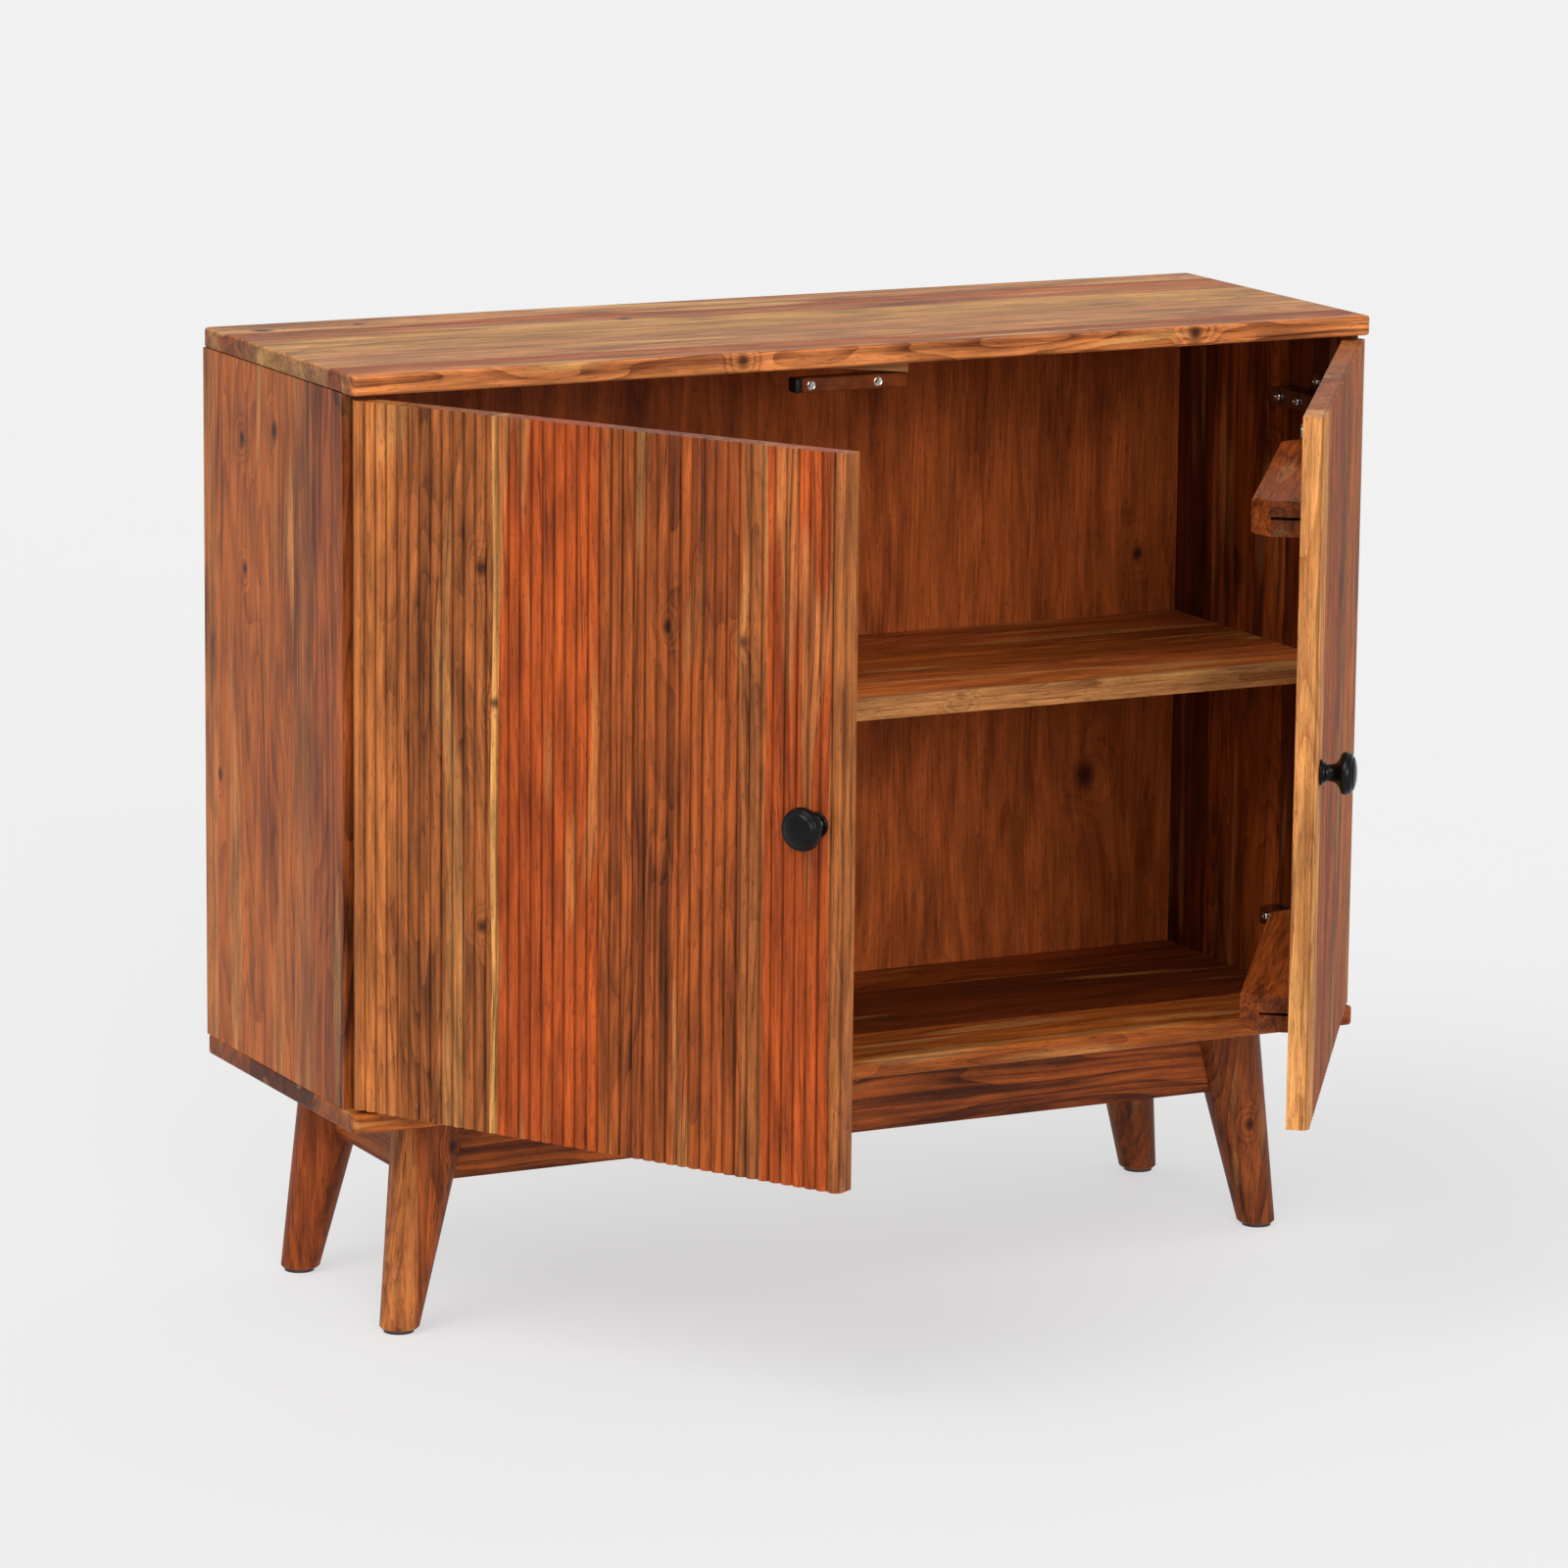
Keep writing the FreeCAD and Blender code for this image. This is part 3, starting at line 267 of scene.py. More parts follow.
@dataclass(frozen=True)
class Acacia:
    """Solid acacia, planed, glued up from planks and sprayed with satin lacquer.

    The eye sees planks of very different tone side by side, dark zebra streaks
    along the grain, arched growth rings, small dark knots, fine open pores and a
    soft satin gloss. Every size is in mm, across and along the grain.
    """

    name: str
    lay: Lay
    planks: tuple[Plank, ...]
    knots: tuple[Knot, ...] = ()
    seed: float = 0.0
    drift: float = 0.0  # how far the joints between planks wander
    # Where the reeds' valleys lie through the board, in mm; painted shade darkens a band there.
    valley: float = 0.0  # how deep the valleys between the reeds lie
    end_shade: float = 0.62
    ring_width: float = 22.0
    ring_waver: float = 9.0
    streaks: Size = (7.0, 700.0)
    line_size: Size = (1.9, 420.0)
    lines: float = 0.8
    bend: float = 34.0
    mottling: float = 0.35
    sapwood: float = 0.25
    fibres: Size = (1.5, 46.0)  # real fibres are finer; as coarse as the render shows
    pores: Size = (1.1, 9.0)
    roughness: float = 0.46
    specular: float = 0.13
    knot_colour: str = "#2A0F08"
    line_colour: str = "#35160A"
    sapwood_colour: str = "#C08E52"

    def stretched(
        self, tree: NodeTree, place: NodeSocket, size: Size, detail: float,
    ) -> NodeSocket:
        """Add noise that is stretched along the grain.

        Args:
            tree: The material's node tree.
            place: The board coordinates in mm.
            size: The noise's size across and along the grain, in mm.
            detail: How many finer layers the noise has.

        Returns:
            The noise, from 0 to 1.
        """
        width, length = size
        scaled = add_node(
            tree, "VectorMath", {"operation": "MULTIPLY"},
            {0: place, 1: (1 / width, 1 / length, 1 / width)},
        )
        noise = add_node(
            tree, "TexNoise", None,
            {"Vector": scaled.outputs[0], "Scale": 1.0, "Detail": detail, "Roughness": 0.55},
        )
        return noise.outputs[0]

    def plank_ramps(self, tree: NodeTree, place: NodeSocket) -> tuple[Node, Node, Node]:
        """Add the ramps that change colour and traits from plank to plank.

        Args:
            tree: The material's node tree.
            place: The board coordinates in mm.

        Returns:
            The pale ramp, the dark ramp and the ramp of seed, streaks and rings.
        """
        across = add_node(tree, "SeparateXYZ", None, {0: place}).outputs[0]
        if self.drift:
            waver = self.stretched(tree, place, JOINT_WANDER, 1.0)
            centred = add_node(
                tree, "Math", {"operation": "SUBTRACT"}, {0: across, 1: self.drift / 2}
            ).outputs[0]
            across = add_node(
                tree, "Math", {"operation": "MULTIPLY_ADD"},
                {0: waver, 1: self.drift, 2: centred},
            ).outputs[0]
        low = self.planks[0].start
        high = self.planks[-1].start + 1.0
        share = add_node(
            tree, "MapRange", None,
            {"Value": across, "From Min": low, "From Max": high},
        ).outputs[0]
        places = [(plank.start - low) / (high - low) for plank in self.planks]
        seeds = [(PLANK_SEED_START + PLANK_SEED_STEP * i + self.seed) % 1.0
                 for i in range(len(self.planks))]
        tables = (
            [linear(plank.pale) for plank in self.planks],
            [linear(plank.dark) for plank in self.planks],
            [(seed, plank.streaks, plank.rings) for seed, plank in zip(seeds, self.planks)],
        )
        ramps = []
        for table in tables:
            ramp = add_node(tree, "ValToRGB", None, {0: share})
            ramp.color_ramp.interpolation = "CONSTANT"
            stops = list(zip(places, table))
            fill_ramp(ramp, stops if len(stops) > 1 else stops + [(1.0, table[0])])
            ramps.append(ramp)
        return ramps[0], ramps[1], ramps[2]

    def knot_fields(self, tree: NodeTree, place: NodeSocket) -> tuple[Any, Any]:
        """Add the bump that each knot makes in the rings, and its dark core.

        Args:
            tree: The material's node tree.
            place: The board coordinates in mm.

        Returns:
            The summed bump and the deepest core, as sockets or as plain zeros.
        """
        bump: Any = 0.0
        core: Any = 0.0
        for knot in self.knots:
            centred = add_node(
                tree, "VectorMath", {"operation": "SUBTRACT"},
                {0: place, 1: (knot.across, knot.along, knot.through)},
            )
            shaped = add_node(
                tree, "VectorMath", {"operation": "MULTIPLY"},
                {0: centred.outputs[0], 1: [share / knot.radius for share in KNOT_SHAPE]},
            )
            away = add_node(tree, "VectorMath", {"operation": "LENGTH"}, {0: shaped.outputs[0]})
            spread, middle = (
                add_node(
                    tree, "MapRange", {"interpolation_type": "SMOOTHERSTEP"},
                    {"Value": away.outputs["Value"], "From Min": radius, "From Max": 0.0},
                ).outputs[0]
                for radius in (KNOT_REACH, KNOT_CORE)
            )
            bump = add_node(
                tree, "Math", {"operation": "MULTIPLY_ADD"}, {0: spread, 1: KNOT_PUSH, 2: bump}
            ).outputs[0]
            core = add_node(
                tree, "Math", {"operation": "MAXIMUM"}, {0: middle, 1: core}
            ).outputs[0]
        return bump, core

    def growth(
        self, tree: NodeTree, place: NodeSocket, bump: Any,
    ) -> tuple[NodeSocket, NodeSocket]:
        """Add growth rings, the contours of a slow wave, crowded round each knot.

        Args:
            tree: The material's node tree.
            place: The plank's coordinates in mm.
            bump: What the knots add, in rings.

        Returns:
            The rings from 0 to 1, and the coordinates pushed sideways where they bend.
        """
        wave = self.stretched(tree, place, RING_WAVE, 1.5)
        across = add_node(tree, "SeparateXYZ", None, {0: place}).outputs[0]
        steady = add_node(
            tree, "Math", {"operation": "MULTIPLY_ADD"},
            {0: across, 1: 1 / self.ring_width, 2: bump},
        ).outputs[0]
        count = add_node(
            tree, "Math", {"operation": "MULTIPLY_ADD"},
            {0: wave, 1: self.ring_waver * 2, 2: steady},
        ).outputs[0]
        saw = add_node(tree, "Math", {"operation": "FRACT"}, {0: count}).outputs[0]
        ring = add_node(tree, "Math", {"operation": "POWER"}, {0: saw, 1: RING_SHARPNESS})
        sideways = add_node(
            tree, "Math", {"operation": "MULTIPLY_ADD"}, {0: wave, 1: self.bend, 2: bump}
        ).outputs[0]
        push = add_node(tree, "CombineXYZ", None, {0: sideways}).outputs[0]
        bent = add_node(tree, "VectorMath", {}, {0: place, 1: push}).outputs[0]
        return ring.outputs[0], bent

    def darkness(
        self, tree: NodeTree, place: NodeSocket, bent: NodeSocket, ring: NodeSocket,
        traits: Sequence[NodeSocket],
    ) -> NodeSocket:
        """Add zebra streaks, rings and mottling together.

        Args:
            tree: The material's node tree.
            place: The plank's coordinates in mm.
            bent: The coordinates that follow the bending grain.
            ring: The growth rings.
            traits: The plank's seed, strength of streaks and strength of rings.

        Returns:
            How far the wood goes from its pale to its dark colour.
        """
        zebra = add_node(
            tree, "MapRange", {"interpolation_type": "SMOOTHSTEP"},
            {"Value": self.stretched(tree, bent, self.streaks, 3.0), **STREAK_BAND},
        ).outputs[0]
        ringed = add_node(
            tree, "Math", {"operation": "MULTIPLY"}, {0: ring, 1: traits[2]}
        ).outputs[0]
        mottle = add_node(
            tree, "MapRange", None,
            {"Value": self.stretched(tree, place, MOTTLES, 3.0), **MOTTLE_BAND,
             "To Min": -self.mottling, "To Max": self.mottling},
        ).outputs[0]
        patterned = add_node(tree, "Math", {"operation": "ADD"}, {0: ringed, 1: mottle})
        return add_node(
            tree, "Math", {"operation": "MULTIPLY_ADD", "use_clamp": True},
            {0: zebra, 1: traits[1], 2: patterned.outputs[0]},
        ).outputs[0]

    def overlay(self, tree: NodeTree, bent: NodeSocket, tone: NodeSocket) -> NodeSocket:
        """Lay patches of pale sapwood, then thin dark lines of late growth, over a tone.

        Args:
            tree: The material's node tree.
            bent: The coordinates that follow the bending grain.
            tone: The colour to lay them on.

        Returns:
            The new colour.
        """
        patches = add_node(
            tree, "MapRange", {"interpolation_type": "SMOOTHSTEP"},
            {"Value": self.stretched(tree, bent, SAPWOOD_PATCHES, 1.0), **SAPWOOD_BAND,
             "To Max": self.sapwood},
        ).outputs[0]
        thin = add_node(
            tree, "MapRange", {"interpolation_type": "SMOOTHSTEP"},
            {"Value": self.stretched(tree, bent, self.line_size, 2.0), **LINE_BAND,
             "To Max": self.lines},
        ).outputs[0]
        crowded = add_node(
            tree, "MapRange", {"interpolation_type": "SMOOTHSTEP"},
            {"Value": self.stretched(tree, bent, LINE_CROWDS, 2.0), **CROWD_BAND},
        ).outputs[0]
        inked = add_node(
            tree, "Math", {"operation": "MULTIPLY"}, {0: thin, 1: crowded}
        ).outputs[0]
        for amount, colour in ((patches, self.sapwood_colour), (inked, self.line_colour)):
            tone = add_node(
                tree, "Mix", {"data_type": "RGBA"}, {0: amount, 6: tone, 7: linear(colour)}
            ).outputs[2]
        return tone

    def shade(
        self, tree: NodeTree, board: NodeSocket, tone: NodeSocket,
        patterns: Sequence[NodeSocket],
    ) -> NodeSocket:
        """Darken and lighten a tone by its patterns and end grain, and paint shade into the
        valleys.

        Args:
            tree: The material's node tree.
            board: The board coordinates in mm.
            tone: The colour to shade.
            patterns: The clouds, the fibres and the pores.

        Returns:
            The shaded colour.
        """
        clouds, fibres, pores = patterns
        normal = add_node(tree, "TexCoord").outputs["Normal"]
        facing = add_node(
            tree, "VectorMath", {"operation": "DOT_PRODUCT"},
            {0: normal, 1: self.lay.grain_direction()},
        ).outputs["Value"]
        ends = add_node(tree, "Math", {"operation": "ABSOLUTE"}, {0: facing}).outputs[0]
        shades = [
            {"Value": clouds, **WIDE_BAND, **CLOUD_SHADE},
            {"Value": fibres, **WIDE_BAND, **FIBRE_SHADE},
            {"Value": pores, **PORE_AND_PAINTED_VALLEY_SHADE},
            {"Value": ends, **END_GRAIN_BAND, "To Min": 1.0, "To Max": self.end_shade},
        ]
        # Painted shade: a dark band along the reeds' valleys, standing in for the shade that
        # gathers there.
        if self.valley:
            through = add_node(tree, "SeparateXYZ", None, {0: board}).outputs[2]
            painted_shade_band = add_node(
                tree, "Math", {"operation": "COMPARE"},
                {0: through, 1: self.valley, 2: PAINTED_SHADE_VALLEY_WIDTH},
            ).outputs[0]
            shades.append({"Value": painted_shade_band, **PORE_AND_PAINTED_VALLEY_SHADE})
        for shade in shades:
            amount = add_node(tree, "MapRange", None, shade).outputs[0]
            tone = add_node(
                tree, "VectorMath", {"operation": "SCALE"}, {0: tone, "Scale": amount}
            ).outputs[0]
        return tone

    def build(self) -> Material:
        """Make the material.

        Returns:
            The finished material.
        """
        material, tree, shader = new_material(self.name)
        board = self.lay.place(tree).outputs[0]
        pale, dark, traits = self.plank_ramps(tree, board)
        trait = add_node(tree, "SeparateColor", None, {0: traits.outputs[0]}).outputs
        shift = add_node(
            tree, "VectorMath", {"operation": "SCALE"}, {0: PLANK_SHIFT, "Scale": trait[0]}
        )
        place = add_node(tree, "VectorMath", {}, {0: board, 1: shift.outputs[0]}).outputs[0]
        bump, core = self.knot_fields(tree, board)
        ring, bent = self.growth(tree, place, bump)
        tone = add_node(
            tree, "Mix", {"data_type": "RGBA"},
            {0: self.darkness(tree, place, bent, ring, trait),
             6: pale.outputs[0], 7: dark.outputs[0]},
        ).outputs[2]
        tone = self.overlay(tree, bent, tone)
        clouds = self.stretched(tree, bent, CLOUDS, 3.0)
        fibres = self.stretched(tree, bent, self.fibres, 2.0)
        pores = add_node(
            tree, "MapRange", {"interpolation_type": "SMOOTHSTEP"},
            {"Value": self.stretched(tree, bent, self.pores, 1.0), **PORE_BAND},
        ).outputs[0]
        tone = self.shade(tree, board, tone, (clouds, fibres, pores))
        if self.knots:
            tone = add_node(
                tree, "Mix", {"data_type": "RGBA"},
                {0: core, 6: tone, 7: linear(self.knot_colour)},
            ).outputs[2]
        gloss = add_node(
            tree, "MapRange", None,
            {"Value": fibres, **WIDE_BAND,
             "To Min": self.roughness - 0.05, "To Max": self.roughness + 0.08},
        ).outputs[0]
        relief = add_node(
            tree, "Math", {"operation": "SUBTRACT"}, {0: fibres, 1: pores}
        ).outputs[0]
        bumped = add_node(
            tree, "Bump", None,
            {"Height": relief, "Strength": 0.35, "Distance": 0.12 * MM},
        ).outputs[0]
        tree.links.new(tone, shader.inputs["Base Color"])
        tree.links.new(gloss, shader.inputs["Roughness"])
        tree.links.new(bumped, shader.inputs["Normal"])
        shader.inputs["IOR"].default_value = 1.5
        shader.inputs["Specular IOR Level"].default_value = self.specular
        return material


@dataclass(frozen=True)
class Speckled:
    """A plain moulded, plated or lacquered finish with fine mottling.

    The eye sees one colour that drifts slightly, a grain of tiny pits or orange
    peel, and a gloss that is broken by rubbing.
    """

    name: str
    colour: str
    second: str
    roughness: float
    metallic: float = 0.0
    specular: float = 0.5
    cloud: float = 14.0  # in mm, as the speck and the relief
    speck: float = 1.2
    relief: float = 0.02

    def build(self) -> Material:
        """Make the material.

        Returns:
            The finished material.
        """
        material, tree, shader = new_material(self.name)
        coordinates = add_node(tree, "TexCoord").outputs["Object"]
        place = add_node(
            tree, "Mapping", {"vector_type": "TEXTURE"},
            {"Vector": coordinates, "Scale": (MM, MM, MM)},
        ).outputs[0]
        clouds, specks = (
            add_node(
                tree, "TexNoise", None, {"Vector": place, "Scale": 1 / size, "Detail": detail}
            ).outputs[0]
            for size, detail in ((self.cloud, 3.0), (self.speck, 2.0))
        )
        drift = add_node(
            tree, "MapRange", None, {"Value": clouds, "From Min": 0.35, "From Max": 0.65}
        ).outputs[0]
        tone = add_node(
            tree, "Mix", {"data_type": "RGBA"},
            {0: drift, 6: linear(self.colour), 7: linear(self.second)},
        ).outputs[2]
        gloss = add_node(
            tree, "MapRange", None,
            {"Value": specks, **MOTTLE_BAND,
             "To Min": self.roughness - 0.06, "To Max": self.roughness + 0.08},
        ).outputs[0]
        bumped = add_node(
            tree, "Bump", None,
            {"Height": specks, "Strength": 0.3, "Distance": self.relief * MM},
        ).outputs[0]
        tree.links.new(tone, shader.inputs["Base Color"])
        tree.links.new(gloss, shader.inputs["Roughness"])
        tree.links.new(bumped, shader.inputs["Normal"])
        shader.inputs["Metallic"].default_value = self.metallic
        shader.inputs["Specular IOR Level"].default_value = self.specular
        return material


# Tones of acacia under clear lacquer, pale and dark of each kind of plank.
TAN = ("#A8622F", "#643216")
HONEY = ("#B17846", "#784526")
STRAW = ("#B98346", "#744622")
SAP = ("#CC7C44", "#70391B")
WARM = ("#B4602C", "#783412")
ORANGE = ("#A0541F", "#682C0F")
OLIVE = ("#945226", "#4A2610")
RUSSET = ("#A04617", "#6C280B")
RED_BROWN = ("#984A1C", "#4C200B")
UMBER = ("#94491C", "#381606")
DUSKY = ("#662C0F", "#341406")

# Turned wood under black lacquer: near black, with a small soft highlight.
BLACK_LACQUER = Speckled("black_lacquered_wood", "#040303", "#080706", 0.27, specular=0.17)
# Nickel on pressed steel: a warm grey mirror, dulled by handling.
NICKEL_STEEL = Speckled("nickel_plated_steel", "#8E8A84", "#6A665F", 0.26, metallic=1.0)
# Bright zinc on screws: the palest and sharpest of the metals.
ZINC_STEEL = Speckled("zinc_plated_steel", "#D2D0CA", "#B4B1AA", 0.22, metallic=1.0)
# Nickel on a pressed magnet: pale, with faint clouds.
NICKEL_MAGNET = Speckled("nickel_plated_magnet", "#C9C5BE", "#A8A299", 0.24, metallic=1.0)
# Moulded ABS: an even colour with a dull, finely pitted skin.
BROWN_PLASTIC = Speckled("brown_moulded_abs", "#743513", "#54240D", 0.5, specular=0.12)
BLACK_PLASTIC = Speckled("black_moulded_abs", "#0B0A0A", "#131211", 0.48, specular=0.25)
# Polythene: waxier than ABS, and rubbed by the floor.
GLIDE_PLASTIC = Speckled("brown_moulded_polythene", "#3A261A", "#2C1C13", 0.55)


def dress(nodes: Iterable[str], finish: Acacia | Speckled) -> None:
    """Give carried-over nodes a finish, which is built once.

    Args:
        nodes: The names of the nodes.
        finish: The finish that they share.
    """
    material = finish.build()
    for name in nodes:
        data = frame["nodes"][name].data
        data.materials.clear()
        data.materials.append(material)
        LOG.info("dressed %s in %s", name, finish.name)


# ---------------------------------------------------------------- modelling helpers


def deselect_all() -> None:
    """Leave nothing selected, so that an operator acts on the next piece only."""
    bpy.ops.object.select_all(action="DESELECT")


def finish_piece(piece: Object, name: str, body: str, material: Material) -> Object:
    """Name a modelled piece, dress it, and fix it to its body.

    Args:
        piece: The modelled object.
        name: The piece's name.
        body: The body that it moves with.
        material: The material that it shows.

    Returns:
        The same object.
    """
    piece.name = name
    piece.data.name = name
    piece.data.materials.clear()
    piece.data.materials.append(material)
    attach(piece, body)
    LOG.info("modelled %s on %s", name, body)
    return piece


def lathe(profile: Sequence[tuple[float, float]], sides: int) -> Object:
    """Turn a closed solid on the Z axis by extruding and resizing a disc.

    Args:
        profile: Each ring's radius and height in mm, from the foot up.
        sides: How many sides the turning has.

    Returns:
        The turned object, centred on the origin.
    """
    deselect_all()
    first_radius, first_height = profile[0]
    bpy.ops.mesh.primitive_circle_add(
        vertices=sides, radius=first_radius * MM, fill_type="NGON",
        location=(0, 0, first_height * MM),
    )
    piece = bpy.context.object
    bpy.ops.object.mode_set(mode="EDIT")
    bpy.ops.mesh.select_all(action="SELECT")
    for (near_radius, near), (far_radius, far) in zip(profile, profile[1:]):
        rise = {"value": (0, 0, (far - near) * MM)}
        bpy.ops.mesh.extrude_region_move(TRANSFORM_OT_translate=rise)
        share = far_radius / near_radius
        bpy.ops.transform.resize(value=(share, share, 1))
    bpy.ops.mesh.select_all(action="SELECT")
    bpy.ops.mesh.normals_make_consistent(inside=False)
    bpy.ops.object.mode_set(mode="OBJECT")
    return piece


def settle(piece: Object, where: Matrix) -> None:
    """Move a piece to its place and keep the place in its mesh.

    Args:
        piece: The object to move.
        where: The placement that its mesh takes.
    """
    deselect_all()
    piece.select_set(True)
    bpy.context.view_layer.objects.active = piece
    piece.matrix_world = where @ piece.matrix_world
    bpy.ops.object.transform_apply(location=True, rotation=True, scale=True)


def cut_away(piece: Object, size: Point, where: Point) -> None:
    """Cut a box out of a piece with a boolean.

    Args:
        piece: The object to cut.
        size: The box's size in mm.
        where: The box's middle in mm.
    """
    deselect_all()
    bpy.ops.mesh.primitive_cube_add(size=1, location=[c * MM for c in where])
    cutter = bpy.context.object
    cutter.scale = [c * MM for c in size]
    bpy.ops.object.transform_apply(location=True, rotation=True, scale=True)
    cut = piece.modifiers.new("slot", "BOOLEAN")
    cut.object = cutter
    cut.operation = "DIFFERENCE"
    bpy.context.view_layer.objects.active = piece
    bpy.ops.object.modifier_apply(modifier=cut.name)
    bpy.data.objects.remove(cutter)


def copies_of(master: Object, places: Sequence[Matrix]) -> Object:
    """Copy a modelled master to each place and join the copies into one piece.

    Args:
        master: The object modelled at the origin; it is used up.
        places: The placement of each copy.

    Returns:
        The joined piece.
    """
    copies = []
    for place in places:
        copy = master.copy()
        copy.data = master.data.copy()
        bpy.context.collection.objects.link(copy)
        settle(copy, place)
        copies.append(copy)
    deselect_all()
    for copy in copies:
        copy.select_set(True)
    bpy.context.view_layer.objects.active = copies[0]
    bpy.ops.object.join()
    bpy.data.objects.remove(master)
    return copies[0]


def rounded_bar(low: Sequence[float], high: Sequence[float], radius: float) -> Object:
    """Model a bar between two corners, with all its edges rounded.

    Args:
        low: The bar's lowest corner, in metres.
        high: The bar's highest corner, in metres.
        radius: The radius of its edges in mm.

    Returns:
        The bar.
    """
    deselect_all()
    bpy.ops.mesh.primitive_cube_add(size=1, location=[(a + b) / 2 for a, b in zip(low, high)])
    bar = bpy.context.object
    bar.scale = [b - a for a, b in zip(low, high)]
    bpy.ops.object.transform_apply(location=True, rotation=True, scale=True)
    bpy.ops.object.mode_set(mode="EDIT")
    bpy.ops.mesh.select_all(action="SELECT")
    bpy.ops.mesh.bevel(offset=radius * MM, segments=4)
    bpy.ops.object.mode_set(mode="OBJECT")
    bpy.ops.object.shade_smooth_by_angle(angle=math.radians(35))
    return bar


def select_vertices(piece: Object, wanted: Callable[[Vector], bool]) -> None:
    """Select only the vertices of a piece whose place passes a test.

    Args:
        piece: The active object, in object mode.
        wanted: Says of a vertex's place whether it is selected.
    """
    bpy.ops.object.mode_set(mode="EDIT")
    bpy.ops.mesh.select_all(action="DESELECT")
    bpy.ops.object.mode_set(mode="OBJECT")
    for vertex in piece.data.vertices:
        vertex.select = wanted(vertex.co)


def mid_level(node: str) -> float:
    """Return the height of a node's middle above the floor, in metres."""
    low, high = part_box(node)
    return (low[2] + high[2]) / 2


# Radius and height of each ring of a screw, in mm, with its seat at height 0.
SCREW_SHANK = ((1.2, -7.0), (1.9, -6.0), (2.0, -5.0), (2.0, -2.6))
FLUSH_HEAD = ((3.9, -0.5), (4.0, -0.2), (4.0, 0.0), (3.6, 0.05), (0.3, 0.05))
DOMED_HEAD = ((2.0, 0.0), (3.8, 0.0), (4.0, 0.3), (4.0, 1.0), (3.7, 1.5), (3.0, 2.0),
              (1.8, 2.32), (0.3, 2.4))
SCREW_SIDES = 28
RECESSES = ((5.0, 1.0, 2.6), (1.0, 5.0, 2.6))  # the two cuts of the cross
TURNED_OVER = Matrix.Rotation(math.pi, 4, "X")


def cross_screw(sunk: bool = False) -> Object:
    """Model a screw at the origin, its head towards Z, with a cross recess.

    Args:
        sunk: Whether the head is flat and lies flush, instead of domed and proud.

    Returns:
        The screw.
    """
    head = FLUSH_HEAD if sunk else DOMED_HEAD
    screw = lathe(SCREW_SHANK + head, SCREW_SIDES)
    for recess in RECESSES:
        cut_away(screw, recess, (0, 0, head[-1][1]))
    deselect_all()
    screw.select_set(True)
    bpy.context.view_layer.objects.active = screw
    bpy.ops.object.shade_smooth_by_angle(angle=math.radians(32))
    return screw


# ---------------------------------------------------------------- sub-assemblies


